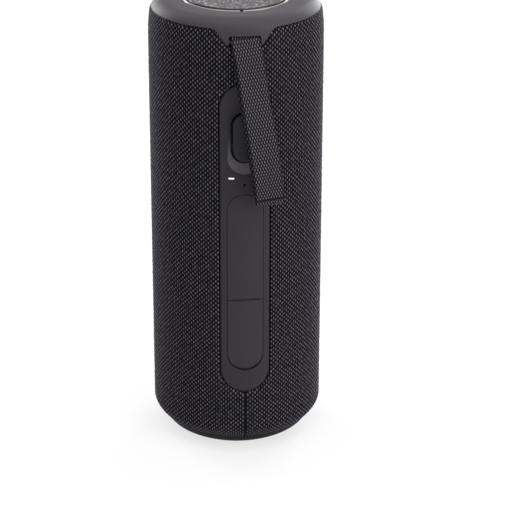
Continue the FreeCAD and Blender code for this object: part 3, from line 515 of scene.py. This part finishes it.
def crease_drop(x, beside):
    """How far the rubber is thinned beside the crease, between its two ends."""
    across = smooth((CREASE_HALF - np.abs(x)) / 0.8)
    return CREASE_DEEP * across * (1 - smooth((beside - 0.35) / 0.5))


def make_cover():
    """The fixed upper part of the rubber port cover."""
    outer = (COVER_HALF, COVER_LOW.z, COVER_HIGH.z, CREASE_CORNER, COVER_HALF)

    def height(x, z):
        return COVER_R - edge_drop(-rounded(x, z, *outer), 0.6, 0.25) - crease_drop(x, z - COVER_LOW.z)

    piece = region("cover_skin", outer, [], height, step=1.0)
    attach(piece, "cabinet")
    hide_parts("port_cover")
    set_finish(piece, "cover_rubber")
    return facing_out(piece)


def make_flap_skin():
    """The skin of the flap, with the finger scoop at its lower end."""
    outer = (COVER_HALF, FLAP_LOW.z, FLAP_HIGH.z, COVER_HALF, CREASE_CORNER)
    scoop_z = FLAP_LOW.z + SCOOP_UP

    def height(x, z):
        r = COVER_R - edge_drop(-rounded(x, z, *outer), 0.6, 0.25) - crease_drop(x, FLAP_HIGH.z - z)
        scoop = np.hypot(x, (z - scoop_z) * 1.15) - SCOOP_R
        lower = smooth((scoop_z + 2.0 - z) / 5.0)
        return r - SCOOP_DEEP * smooth(0.5 - scoop / 0.7) * lower

    piece = region("flap_skin", outer, [], height, step=0.8)
    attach(piece, "flap")
    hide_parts("port_flap")
    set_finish(piece, "cover_rubber")
    return facing_out(piece)


def make_lens():
    """The status light's window: a small milky bar a little below the panel's face."""
    middle_x, middle_z = (LENS_HIGH.x + LENS_LOW.x) / 2, (LENS_HIGH.z + LENS_LOW.z) / 2
    outer = (LENS_HALF_WIDE, middle_z - LENS_HALF_TALL, middle_z + LENS_HALF_TALL, 0.15, 0.15, middle_x)

    def height(x, z):
        return SPINE_R - 0.06 - edge_drop(-rounded(x, z, *outer), 0.15, 0.08)

    piece = region("status_window", outer, [], height, insets=(0, 0.06, 0.15), step=0.3)
    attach(piece, "cabinet")
    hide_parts("status_lens")
    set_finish(piece, "lamp_white")
    return facing_out(piece)


# ---------------------------------------------------------------- top cap
def shoulder(z):
    """Radius of the cap's outside at each height: upright, then a soft round over to the top."""
    up = np.clip((z - SHOULDER_LOW) / (CAP_TOP - SHOULDER_LOW), 0, 1)
    return CAP_R - SHOULDER * (1 - np.sqrt(1 - up * up))


def make_cap():
    """The top cap with its rounded shoulder, dial well and the tab that holds the strap."""
    rough = np.linspace(-math.pi, math.pi, 361)[:-1]
    fine = np.arcsin(np.arange(-18, 18.01, 0.25) / CAP_R)
    a = np.sort(np.unique(np.round(np.concatenate([rough[np.abs(rough) > fine[-1] + 0.01], fine]), 6)))
    x = CAP_R * np.sin(a)
    front = np.cos(a) > 0.5
    low = np.full(len(a), TAB_LOW - 1.0)
    high = np.full(len(a), SEAM_Z + 0.6)
    for _ in range(40):
        middle = (low + high) / 2
        inside = tab_shape(np.where(front, x, 99), middle) < 0
        high = np.where(inside, middle, high)
        low = np.where(inside, low, middle)
    edge = high
    side_top = SEAM_Z + 0.7
    rows = 34
    foot = shoulder(edge)
    rings = [(foot - 1.6, edge + 0.3), (foot - 0.28, edge), (foot - 0.08, edge + 0.1)]
    for k in range(1, rows + 1):
        z = edge + 0.3 + (side_top - edge - 0.3) * k / rows
        rings.append((shoulder(z), z))
    turned = math.asin((side_top - SHOULDER_LOW) / (CAP_TOP - SHOULDER_LOW))
    for k in range(1, 17):
        t = turned + (math.pi / 2 - turned) * k / 16
        z = np.full(len(a), SHOULDER_LOW + (CAP_TOP - SHOULDER_LOW) * math.sin(t))
        rings.append((shoulder(z), z))
    inner = [
        (31.5, CAP_TOP),
        (28.5, CAP_TOP),
        (WELL_R + 0.55, CAP_TOP),
        (WELL_R + 0.25, CAP_TOP - 0.06),
        (WELL_R + 0.08, CAP_TOP - 0.25),
        (WELL_R + 0.04, CAP_TOP - 0.6),
        (WELL_R + 0.04, CAP_TOP - WELL_DEPTH),
    ]
    rings += [(np.full(len(a), r), np.full(len(a), z)) for r, z in inner]
    r = np.stack([ring[0] for ring in rings])
    z = np.stack([ring[1] for ring in rings])
    angle = np.repeat(a[None, :], len(rings), 0)
    faces = quads(len(rings), len(a), closed=True)
    r, z, angle = r.ravel(), z.ravel(), angle.ravel()
    x = r * np.sin(angle)
    on_side = (np.cos(angle) > 0.5) & (z < SEAM_Z) & (r > CAP_R - 2)
    slot = np.where(on_side, slot_shape(x, z), FAR)
    kept = ~((slot[faces].mean(1) < 0) & on_side[faces].all(1))
    faces = faces[kept]
    rim = open_edges(faces)
    near = np.zeros(len(x), bool)
    near[rim.ravel()] = True
    near &= on_side & (np.abs(slot) < 0.6) & (r > CAP_R - 1)
    nx, nz = to_outline(x[near], z[near], slot_shape)
    z[near] = nz
    angle[near] = np.arcsin(nx / r[near])
    slot = np.where(on_side, slot_shape(r * np.sin(angle), z), FAR)
    r = r - np.where(on_side & (r > CAP_R - 1), edge_drop(np.clip(slot, 0, FAR), 0.45, 0.3), 0)
    verts = np.stack([r * np.sin(angle), -r * np.cos(angle), z], -1)
    rim = open_edges(faces)
    rim = rim[(np.abs(slot[rim]) < 0.1).all(1) & near[rim].all(1)]
    walls, used = rim_walls(rim, len(verts))
    deep = verts[used] + [0, SLOT_DEEP, 0]
    piece = new_piece("cap_shell", np.concatenate([verts, deep]), faces.tolist() + walls.tolist())
    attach(piece, "cabinet")
    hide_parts("top_cap")
    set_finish(piece, "cap_plastic")
    return facing_out(piece)


def make_dial_face():
    """The dial: a shallow dished disc with a soft rim and a skirt that goes down into the well."""
    top, under = DIAL_HIGH.z, DIAL_HIGH.z - DIAL_SKIRT
    profile = [(0.01, top - DIAL_DISH)]
    profile += [(r, top - DIAL_DISH + 0.45 * (r / 20.0) ** 2) for r in (3, 6, 9, 12, 15, 17.5, 20)]
    profile += [(20.8, top - 0.3), (21.5, top - 0.1), (22.3, top - 0.02)]
    for k in range(7):
        t = math.pi / 2 * k / 6
        profile.append((DIAL_FACE_R - 0.6 + 0.6 * math.sin(t), top - 0.6 + 0.58 * math.cos(t)))
    profile += [(DIAL_FACE_R, under + 0.3), (DIAL_FACE_R - 0.3, under), (6.0, under), (0.01, under)]
    piece = spun("dial_face", profile)
    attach(piece, "dial")
    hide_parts("volume_dial")
    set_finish(piece, "dial_plastic")
    return piece


# ---------------------------------------------------------------- strap
STRAP_PATH = [
    # across, out, up, twist in degrees
    (0.1, -37.2, 209.0, 0),
    (0.1, -38.6, 209.1, 0),
    (0.2, -39.6, 208.2, 0),
    (0.4, -40.1, 206.8, 0),
    (0.9, -41.2, 204.4, 0),
    (1.7, -42.7, 200.2, 1),
    (2.7, -44.0, 193.5, 2),
    (4.0, -46.2, 183.4, 3),
    (5.5, -48.4, 173.6, 4),
    (7.2, -50.2, 162.2, 5),
    (8.5, -51.1, 152.9, 6),
    (9.6, -51.0, 143.4, 6),
    (10.2, -50.0, 137.2, 6),
    (10.5, -48.6, 133.6, 5),
    (10.6, -46.9, 132.2, 5),
    (10.5, -45.1, 132.9, 4),
    (10.2, -43.7, 136.0, 3),
    (9.3, -42.7, 143.4, 2),
    (7.4, -42.1, 155.4, 1),
    (5.0, -42.05, 171.4, 0),
    (2.7, -42.05, 187.4, 0),
    (1.2, -41.9, 198.4, 0),
    (0.7, -41.2, 203.2, 0),
    (0.3, -39.8, 205.5, 0),
    (0.1, -37.4, 205.6, 0),
]


def spline(points, count):
    """Evenly spaced points along a Catmull-Rom curve through the rows of points."""
    p = np.asarray(points, float)
    p = np.concatenate([[2 * p[0] - p[1]], p, [2 * p[-1] - p[-2]]])
    out = []
    for k in range(1, len(p) - 2):
        t = np.linspace(0, 1, 24, endpoint=False)[:, None]
        a, b, c, d = p[k - 1], p[k], p[k + 1], p[k + 2]
        square = (2 * a - 5 * b + 4 * c - d) * t ** 2
        cube = (3 * b - a - 3 * c + d) * t ** 3
        out.append(0.5 * (2 * b + (c - a) * t + square + cube))
    dense = np.concatenate(out + [p[-2:-1]])
    length = np.concatenate([[0], np.cumsum(np.linalg.norm(np.diff(dense[:, :3], axis=0), axis=1))])
    even = np.linspace(0, length[-1], count)
    return np.stack([np.interp(even, length, dense[:, k]) for k in range(dense.shape[1])], -1), length[-1]


def make_strap():
    """The doubled webbing loop, with woven relief.

    Gives back how far along the webbing the crease of its front layer is, in millimetres.
    """
    count = 230
    path, length = spline(STRAP_PATH, count)
    centre, twist = path[:, :3], np.radians(path[:, 3])
    along = np.gradient(centre, axis=0)
    along /= np.linalg.norm(along, axis=1)[:, None]
    across = np.stack([np.cos(twist), np.sin(twist), np.zeros(count)], -1)
    across -= (across * along).sum(1)[:, None] * along
    across /= np.linalg.norm(across, axis=1)[:, None]
    out = np.cross(along, across)
    section = []
    half, thick = WEBBING_HALF, WEBBING_THICK / 2
    flat, round_end = half - thick * 0.8, thick * 0.8
    steps = 25
    for face in (1, -1):
        for k in range(steps):
            section.append((face * (-1 + 2 * k / (steps - 1)) * flat, face))
        for k in range(1, 4):
            t = math.pi * k / 4
            section.append((face * (flat + round_end * math.sin(t)), face * math.cos(t)))
    section = np.array(section)
    s = np.linspace(0, length, count)
    u, side = section[:, 0], section[:, 1]
    relief = 0.1 * np.cos(2 * np.pi * u / YARN_WIDE)[None, :] * np.cos(2 * np.pi * s / YARN_LONG)[:, None]
    relief *= smooth((half - 0.9 - np.abs(u)) / 0.4)[None, :]
    offset = side[None, :] * (thick + relief)
    verts = centre[:, None] + across[:, None] * u[None, :, None] + out[:, None] * offset[:, :, None]
    faces = quads(count, len(section), closed=True)
    grid_u = np.repeat(u[None, :], count, 0)
    grid_v = np.repeat(s[:, None], len(section), 1)
    piece = new_piece(
        "strap_webbing", verts.reshape(-1, 3), faces, np.stack([grid_u, grid_v], -1).reshape(-1, 2)
    )
    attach(piece, "strap")
    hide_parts("carry_strap")
    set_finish(piece, "webbing")
    facing_out(piece)
    lowest = int(np.argmin(centre[:, 2]))
    return float(np.interp(-(centre[lowest, 2] + CREASE_UP), -centre[:lowest, 2], s[:lowest]))


# ---------------------------------------------------------------- materials
class Paint:
    """A material being built: a shader and short ways to add nodes to it."""

    def __init__(self, name, roughness, specular=0.5, sheen=0.0, coat=0.0, metallic=0.0):
        self.material = bpy.data.materials.new(name)
        self.material.use_nodes = True
        self.tree = self.material.node_tree
        self.shader = self.tree.nodes["Principled BSDF"]
        self.shader.inputs["Roughness"].default_value = roughness
        self.shader.inputs["Specular IOR Level"].default_value = specular
        self.shader.inputs["Sheen Weight"].default_value = sheen
        self.shader.inputs["Coat Weight"].default_value = coat
        self.shader.inputs["Metallic"].default_value = metallic
        self.place = self.add("ShaderNodeTexCoord").outputs["Object"]

    def add(self, kind, **settings):
        """A new node with its settings."""
        node = self.tree.nodes.new(kind)
        for key, value in settings.items():
            setattr(node, key, value)
        return node

    def link(self, source, target):
        self.tree.links.new(source, target)

    def split(self, source):
        """The X, Y and Z of a vector."""
        node = self.add("ShaderNodeSeparateXYZ")
        self.link(source, node.inputs[0])
        return node.outputs

    def math(self, operation, first, second=0.0, clamp=False):
        """The result of one sum on numbers or sockets."""
        node = self.add("ShaderNodeMath", operation=operation, use_clamp=clamp)
        for socket, value in zip(node.inputs, (first, second)):
            if isinstance(value, (int, float)):
                socket.default_value = value
            else:
                self.link(value, socket)
        return node.outputs[0]

    def within(self, half, low, high):
        """How far a point is inside an upright round-ended outline on the front, in metres."""
        at = self.split(self.place)
        middle, straight = (low + high) / 2 * MM, ((high - low) / 2 - half) * MM
        above = self.math("ABSOLUTE", self.math("SUBTRACT", at["Z"], middle))
        above = self.math("MAXIMUM", self.math("SUBTRACT", above, straight), 0.0)
        squares = self.math("ADD", self.math("POWER", at["X"], 2.0), self.math("POWER", above, 2.0))
        behind = self.math("GREATER_THAN", at["Y"], 0.0)
        return self.math("SUBTRACT", self.math("SUBTRACT", half * MM, self.math("SQRT", squares)), behind)

    def noise(self, scale, detail=2.0, stretch=None, where=None):
        """Noise from 0 to 1, at the piece's own coordinates unless where says otherwise."""
        node = self.add("ShaderNodeTexNoise")
        node.inputs["Scale"].default_value = scale
        node.inputs["Detail"].default_value = detail
        source = where or self.place
        if stretch:
            mapping = self.add("ShaderNodeMapping")
            mapping.inputs["Scale"].default_value = stretch
            self.link(source, mapping.inputs["Vector"])
            source = mapping.outputs["Vector"]
        self.link(source, node.inputs["Vector"])
        return node.outputs["Fac"]

    def ramp(self, value, stops):
        """A colour for each value, blended between the stops."""
        node = self.add("ShaderNodeValToRGB")
        elements = node.color_ramp.elements
        while len(elements) < len(stops):
            elements.new(0.5)
        for element, (position, colour) in zip(elements, stops):
            element.position = position
            element.color = (*colour, 1)
        self.link(value, node.inputs["Fac"])
        return node.outputs["Color"]

    def colour(self, source):
        self.link(source, self.shader.inputs["Base Color"])

    def rough(self, source, low, high):
        """Roughness that follows source between low and high."""
        node = self.add("ShaderNodeMapRange")
        node.inputs["To Min"].default_value = low
        node.inputs["To Max"].default_value = high
        self.link(source, node.inputs["Value"])
        self.link(node.outputs["Result"], self.shader.inputs["Roughness"])

    def bump(self, source, distance, strength=1.0):
        """Relief of the given depth in metres, on top of any relief already there."""
        node = self.add("ShaderNodeBump")
        node.inputs["Distance"].default_value = distance
        node.inputs["Strength"].default_value = strength
        self.link(source, node.inputs["Height"])
        previous = self.shader.inputs["Normal"]
        if previous.is_linked:
            self.link(previous.links[0].from_socket, node.inputs["Normal"])
        self.link(node.outputs["Normal"], previous)


SPINE_COLOUR = (0.0205, 0.0178, 0.024)
# painted light: a lighter colour for the key's dished seat, strongest at its foot, and how far up the
# painted light reaches
SEAT_LIGHT_COLOUR = (0.1, 0.0915, 0.106)
SEAT_LIGHT_RISE = 0.27


def shade(colour, factor):
    """A colour made darker or lighter."""
    return tuple(min(1.0, c * factor) for c in colour)


def moulded(name, colour, roughness=0.5, grain=0.25, depth=0.02, specular=0.5, coat=0.0, vary=0.14):
    """Moulded plastic or rubber: fine grain in millimetres, slow colour drift and uneven gloss."""
    paint = Paint(name, roughness, specular=specular, coat=coat)
    fine = paint.noise(1 / (grain * MM), 3)
    slow = paint.noise(60, 3)
    mix = paint.math("ADD", paint.math("MULTIPLY", fine, 0.5), paint.math("MULTIPLY", slow, 0.5))
    paint.colour(paint.ramp(mix, [(0.3, shade(colour, 1 - vary)), (0.7, shade(colour, 1 + vary))]))
    paint.rough(slow, roughness - 0.06, roughness + 0.06)
    paint.bump(fine, depth * MM, 0.7)
    return paint.material


def metal(name, colour, roughness=0.3, stretch=(1, 1, 30), depth=0.004):
    """Machined or drawn metal, with fine lines along one direction."""
    paint = Paint(name, roughness, metallic=1.0)
    lines = paint.noise(900, 2, stretch=stretch)
    paint.colour(paint.ramp(lines, [(0.3, shade(colour, 0.85)), (0.7, shade(colour, 1.1))]))
    paint.rough(lines, roughness - 0.06, roughness + 0.1)
    paint.bump(lines, depth * MM, 0.5)
    return paint.material


def cloth_material():
    """Bumpy knitted mesh: light crossed yarns round small dark holes, on the sleeve's own lattice, with a
    painted highlight along the rolled edge round the spine.
    """
    paint = Paint("knit", 0.8, specular=0.12)
    weave = paint.add("ShaderNodeUVMap", uv_map="weave").outputs["UV"]
    at = paint.split(weave)
    turn = 2 * math.pi
    across = paint.math("COSINE", paint.math("MULTIPLY", at["X"], turn))
    up = paint.math("COSINE", paint.math("MULTIPLY", at["Y"], turn))
    lattice = paint.math("MULTIPLY", across, up)
    ridge = paint.math("COSINE", paint.math("MULTIPLY", at["X"], 2 * turn))
    lattice = paint.math("ADD", paint.math("MULTIPLY", lattice, 0.85), paint.math("MULTIPLY", ridge, RIDGE))
    fibre = paint.noise(9.0, 4, where=weave)
    patch = paint.noise(1.1, 2, where=weave)
    value = paint.math("ADD", lattice, paint.math("MULTIPLY", paint.math("SUBTRACT", fibre, 0.5), 1.1))
    value = paint.math("ADD", value, paint.math("MULTIPLY", paint.math("SUBTRACT", patch, 0.5), 1.7))
    value = paint.math("ADD", paint.math("MULTIPLY", value, 0.4), 0.5)
    from_seam = paint.math("MINIMUM", at["X"], paint.math("SUBTRACT", BEAD_COLUMNS, at["X"]))
    beside = paint.math("DIVIDE", from_seam, SEAM_BEADS, clamp=True)
    value = paint.math("MULTIPLY", value, paint.math("POWER", beside, 0.6))
    # painted highlight: a thin lighter line on the rolled cloth just outside the spine opening
    window = paint.within(SPINE_HALF + SPINE_GAP, SPINE_LOW.z - SPINE_GAP, SPINE_HIGH.z + SPINE_GAP)
    off_highlight_line = paint.math("ABSOLUTE", paint.math("ADD", window, RIM_HIGHLIGHT_OUT * MM))
    rim = paint.math("SUBTRACT", 1.0, paint.math("DIVIDE", off_highlight_line, 0.5 * MM, clamp=True))
    value = paint.math("ADD", value, paint.math("MULTIPLY", rim, 0.2))
    paint.colour(paint.ramp(value, [
        (0.0, (0.0006, 0.0006, 0.0007)),
        (0.46, (0.0016, 0.0013, 0.0024)),
        (0.64, (0.0115, 0.0097, 0.0145)),
        (0.87, (0.08, 0.07, 0.094)),
        (1.0, (0.13, 0.115, 0.148)),
    ]))
    paint.bump(value, 0.16 * MM, 0.8)
    return paint.material


def spine_material():
    """Soft matte plastic, with painted light in the key's dished seat, lighter towards the seat's foot."""
    paint = Paint("spine_matte", 0.6, specular=0.25)
    # painted light in the dished seat: lighter towards its foot, where light falls on its upward slope
    inside = paint.within(DISH_HALF, DISH_LOW, DISH_HIGH)
    seat = paint.math("DIVIDE", inside, 0.7 * MM, clamp=True)
    at = paint.split(paint.place)
    middle, reach = (DISH_LOW + DISH_HIGH) / 2 * MM, (DISH_HIGH - DISH_LOW) / 2 * MM
    lit_towards_foot = paint.math("DIVIDE", paint.math("SUBTRACT", middle + SEAT_LIGHT_RISE * reach, at["Z"]), reach)
    seat = paint.math("MULTIPLY", seat, paint.math("MINIMUM", paint.math("MAXIMUM", lit_towards_foot, 0.0), 1.0))
    fine = paint.noise(1 / (0.3 * MM), 3)
    slow = paint.noise(60, 3)
    value = paint.math("MULTIPLY", paint.math("ADD", fine, slow), 0.2)
    value = paint.math("ADD", value, paint.math("MULTIPLY", seat, 0.5))
    paint.colour(paint.ramp(value, [
        (0.12, shade(SPINE_COLOUR, 0.9)),
        (0.28, shade(SPINE_COLOUR, 1.1)),
        (0.62, shade(SEAT_LIGHT_COLOUR, 0.93)),
        (0.78, shade(SEAT_LIGHT_COLOUR, 1.07)),
    ]))
    paint.rough(slow, 0.54, 0.66)
    paint.bump(fine, 0.012 * MM, 0.7)
    return paint.material


def webbing_material(crease_shade_at):
    """Flat woven webbing: staggered floats of light yarn, with a line of painted shade across it at the
    crease, at the given distance along it.
    """
    paint = Paint("woven_webbing", 0.75, specular=0.12)
    weave = paint.add("ShaderNodeUVMap", uv_map="weave").outputs["UV"]
    at = paint.split(weave)
    turn = 2 * math.pi
    across = paint.math("COSINE", paint.math("MULTIPLY", at["X"], turn / YARN_WIDE))
    along = paint.math("COSINE", paint.math("MULTIPLY", at["Y"], turn / YARN_LONG))
    lattice = paint.math("MULTIPLY", across, along)
    fibre = paint.noise(2.4, 4, where=weave)
    value = paint.math("ADD", lattice, paint.math("MULTIPLY", paint.math("SUBTRACT", fibre, 0.5), 1.0))
    value = paint.math("ADD", paint.math("MULTIPLY", value, 0.4), 0.5)
    from_edge = paint.math("SUBTRACT", WEBBING_HALF - 0.55, paint.math("ABSOLUTE", at["X"]))
    woven = paint.math("DIVIDE", from_edge, 0.25, clamp=True)
    value = paint.math("MULTIPLY", value, paint.math("ADD", paint.math("MULTIPLY", woven, 0.2), 0.8))
    # painted shade: a dark line across the webbing at the crease
    from_fold = paint.math("ABSOLUTE", paint.math("SUBTRACT", at["Y"], crease_shade_at))
    value = paint.math("MULTIPLY", value, paint.math("DIVIDE", from_fold, FOLD_SHADE_WIDE, clamp=True))
    paint.colour(paint.ramp(value, [
        (0.0, (0.001, 0.001, 0.0012)),
        (0.42, (0.006, 0.0054, 0.007)),
        (0.62, (0.031, 0.028, 0.035)),
        (0.86, (0.143, 0.131, 0.153)),
        (1.0, (0.24, 0.222, 0.255)),
    ]))
    paint.bump(value, 0.12 * MM, 0.7)
    return paint.material


def dial_material():
    """The dial's fine light speckle on dark plastic, with a plain dark rim."""
    paint = Paint("dial_face", 0.42, specular=0.5)
    fine = paint.noise(1700, 3)
    voronoi = paint.add("ShaderNodeTexVoronoi")
    voronoi.inputs["Scale"].default_value = 900
    paint.link(paint.place, voronoi.inputs["Vector"])
    speckle = paint.math("MULTIPLY", voronoi.outputs["Distance"], 0.5)
    value = paint.math("ADD", paint.math("MULTIPLY", fine, 0.6), speckle)
    at = paint.split(paint.place)
    squares = paint.math("ADD", paint.math("POWER", at["X"], 2.0), paint.math("POWER", at["Y"], 2.0))
    flat = paint.math("LESS_THAN", paint.math("SQRT", squares), (DIAL_FACE_R - DIAL_RIM) * MM)
    value = paint.math("MULTIPLY", value, flat)
    paint.colour(paint.ramp(value, [
        (0.3, (0.004, 0.003, 0.0038)),
        (0.42, (0.013, 0.0095, 0.0115)),
        (0.57, (0.031, 0.024, 0.028)),
        (0.7, (0.23, 0.19, 0.21)),
    ]))
    paint.bump(value, 0.05 * MM, 0.9)
    return paint.material


def board_material():
    """Circuit board: green mask over fine tracks."""
    paint = Paint("solder_mask", 0.4, coat=0.3)
    brick = paint.add("ShaderNodeTexBrick")
    brick.inputs["Scale"].default_value = 260
    brick.inputs["Color1"].default_value = (0.006, 0.075, 0.03, 1)
    brick.inputs["Color2"].default_value = (0.008, 0.095, 0.04, 1)
    brick.inputs["Mortar"].default_value = (0.02, 0.16, 0.07, 1)
    paint.link(paint.place, brick.inputs["Vector"])
    paint.colour(brick.outputs["Color"])
    paint.bump(brick.outputs["Fac"], 0.03 * MM, 0.6)
    return paint.material


def paper_material():
    """Pressed paper cone: dark fibres."""
    paint = Paint("cone_fibre", 0.8, specular=0.2)
    fibre = paint.noise(700, 5, stretch=(1, 1, 6))
    paint.colour(paint.ramp(fibre, [(0.3, (0.006, 0.006, 0.007)), (0.7, (0.03, 0.03, 0.033))]))
    paint.bump(fibre, 0.08 * MM, 0.8)
    return paint.material


def milky_material():
    """A light pipe's milky lens, faintly lit."""
    paint = Paint("milky_lens", 0.25, specular=0.5)
    cloud = paint.noise(800, 2)
    paint.colour(paint.ramp(cloud, [(0.3, (0.86, 0.87, 0.9)), (0.7, (0.97, 0.97, 0.98))]))
    paint.shader.inputs["Emission Color"].default_value = (1, 1, 1, 1)
    paint.shader.inputs["Emission Strength"].default_value = 0.6
    return paint.material


def all_materials(crease_shade_at):
    """One finish for each material slot of the record."""
    return {
        "grille_cloth": cloth_material(),
        "webbing": webbing_material(crease_shade_at),
        "cap_plastic": moulded(
            "cap_satin", (0.0355, 0.0305, 0.039), 0.6, grain=0.3, depth=0.012, vary=0.1, specular=0.3
        ),
        "dial_plastic": dial_material(),
        "bezel_metal": metal("bezel_satin", (0.3, 0.27, 0.28), 0.34),
        "spine_plastic": spine_material(),
        "key_plastic": moulded(
            "key_matte", (0.0165, 0.0145, 0.0195), 0.6, grain=0.3, depth=0.012, vary=0.1, specular=0.25
        ),
        "cover_rubber": moulded(
            "cover_soft", (0.025, 0.0215, 0.0285), 0.65, grain=0.35, depth=0.015, vary=0.1, specular=0.25
        ),
        "foot_rubber": moulded("foot_soft", (0.014, 0.012, 0.012), 0.8, grain=0.5, depth=0.03),
        "seal_rubber": moulded("seal_soft", (0.012, 0.012, 0.013), 0.75, grain=0.4, depth=0.02),
        "base_plastic": moulded(
            "base_satin", (0.006, 0.0044, 0.0043), 0.65, grain=0.3, depth=0.015, specular=0.12
        ),
        "black_plastic": moulded("black_moulded", (0.012, 0.012, 0.013), 0.5, grain=0.4, depth=0.02),
        "lamp_white": milky_material(),
        "ceramic_white": moulded(
            "ceramic_body", (0.75, 0.73, 0.68), 0.3, grain=0.3, depth=0.006, vary=0.05
        ),
        "steel": metal("drawn_steel", (0.55, 0.56, 0.58), 0.28),
        "port_metal": metal("port_nickel", (0.6, 0.58, 0.55), 0.22),
        "can_metal": metal("can_aluminium", (0.62, 0.63, 0.66), 0.35),
        "circuit_board": board_material(),
        "chip_black": moulded("chip_epoxy", (0.01, 0.01, 0.011), 0.4, grain=0.15, depth=0.006),
        "ribbon_film": moulded(
            "ribbon_polyimide", (0.32, 0.11, 0.02), 0.35, grain=0.6, depth=0.01, coat=0.3
        ),
        "cell_wrap": moulded("cell_film", (0.02, 0.12, 0.2), 0.32, grain=1.0, depth=0.02, coat=0.4),
        "basket_steel": metal("basket_black", (0.05, 0.05, 0.055), 0.5, stretch=(1, 1, 1), depth=0.02),
        "magnet_ferrite": moulded("ferrite", (0.02, 0.02, 0.022), 0.55, grain=0.2, depth=0.02),
        "cone_paper": paper_material(),
        "passive_plate": metal("plate_anodised", (0.09, 0.09, 0.1), 0.42, stretch=(1, 30, 1), depth=0.01),
    }


def paint_pieces(crease_shade_at):
    """Gives every shown piece the finish of its slot."""
    finishes = all_materials(crease_shade_at)
    used = {}
    for part in frame["record"]["subparts"]:
        for node in part.get("nodes", [part.get("name")]):
            used[node] = part.get("material_slot") or part.get("material")
    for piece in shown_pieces():
        slot = piece.get("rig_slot") or used.get(piece.name)
        if slot is None and piece.material_slots and piece.material_slots[0].material:
            slot = piece.material_slots[0].material.name.split(".")[0]
        finish = finishes[slot]
        if not piece.material_slots:
            piece.data.materials.append(finish)
        for held in piece.material_slots:
            held.material = finish


# ---------------------------------------------------------------- setting
CAMERA_AT = (-94.53, -929.79, 490.77)
CAMERA_TURN = 6.358
CAMERA_DOWN = 23.381
CAMERA_ROLL = 0.088
LENS = 147.22


def make_camera():
    """The camera, placed in millimetres and turned in degrees."""
    camera = bpy.data.objects.new("camera", bpy.data.cameras.new("camera"))
    bpy.context.scene.collection.objects.link(camera)
    camera.data.lens = LENS
    camera.data.sensor_width = 36.0
    camera.location = Vector(CAMERA_AT) * MM
    turn, down = math.radians(CAMERA_TURN), math.radians(CAMERA_DOWN)
    forward = Vector((math.sin(turn) * math.cos(down), math.cos(turn) * math.cos(down), -math.sin(down)))
    roll = Matrix.Rotation(math.radians(CAMERA_ROLL), 3, "Z")
    camera.rotation_euler = (forward.to_track_quat("-Z", "Y").to_matrix() @ roll).to_euler()
    camera.data.clip_start, camera.data.clip_end = 0.05, 20
    bpy.context.scene.camera = camera


def make_light(name, place, size, power):
    """A soft rectangle of light that faces the middle of the speaker."""
    data = bpy.data.lights.new(name, "AREA")
    data.shape = "RECTANGLE"
    data.size, data.size_y = size
    data.energy = power
    light = bpy.data.objects.new(name, data)
    bpy.context.scene.collection.objects.link(light)
    light.location = place
    light.rotation_euler = (Vector((0, 0, 0.11)) - Vector(place)).to_track_quat("-Z", "Y").to_euler()


def make_setting():
    """A pale floor, an even white room and four soft studio lights."""
    scene = bpy.context.scene
    scene.view_settings.view_transform = "Standard"
    world = bpy.data.worlds.new("room")
    scene.world = world
    world.use_nodes = True
    backdrop = world.node_tree.nodes["Background"]
    backdrop.inputs["Color"].default_value = (1.0, 0.99, 1.0, 1)
    backdrop.inputs["Strength"].default_value = 0.55
    mesh = bpy.data.meshes.new("floor")
    mesh.from_pydata([(-5, -3, 0), (5, -3, 0), (5, 7, 0), (-5, 7, 0)], [], [(0, 1, 2, 3)])
    floor = bpy.data.objects.new("floor", mesh)
    scene.collection.objects.link(floor)
    paint = Paint("floor_sheet", 0.9, specular=0.1)
    slow = paint.noise(3, 2)
    paint.colour(paint.ramp(slow, [(0.3, (0.2, 0.198, 0.2)), (0.7, (0.21, 0.208, 0.21))]))
    paint.shader.inputs["Emission Color"].default_value = (1.0, 0.985, 1.0, 1)
    paint.shader.inputs["Emission Strength"].default_value = 0.705
    mesh.materials.append(paint.material)
    make_light("soft_back_right", (1.1, 1.5, 0.5), (1.0, 1.0), 38)
    make_light("soft_back_left", (-1.1, 1.5, 0.5), (1.0, 1.0), 38)
    make_light("soft_front", (1.3, -1.1, 0.8), (1.2, 1.2), 20)
    make_light("soft_top", (0.1, 0.0, 1.9), (2.4, 2.4), 34)


make_camera()
make_cloth()
make_base_ring()
make_spine()
make_key()
make_cover()
make_flap_skin()
make_lens()
make_cap()
make_dial_face()
crease_shade_at = make_strap()
paint_pieces(crease_shade_at)
make_setting()
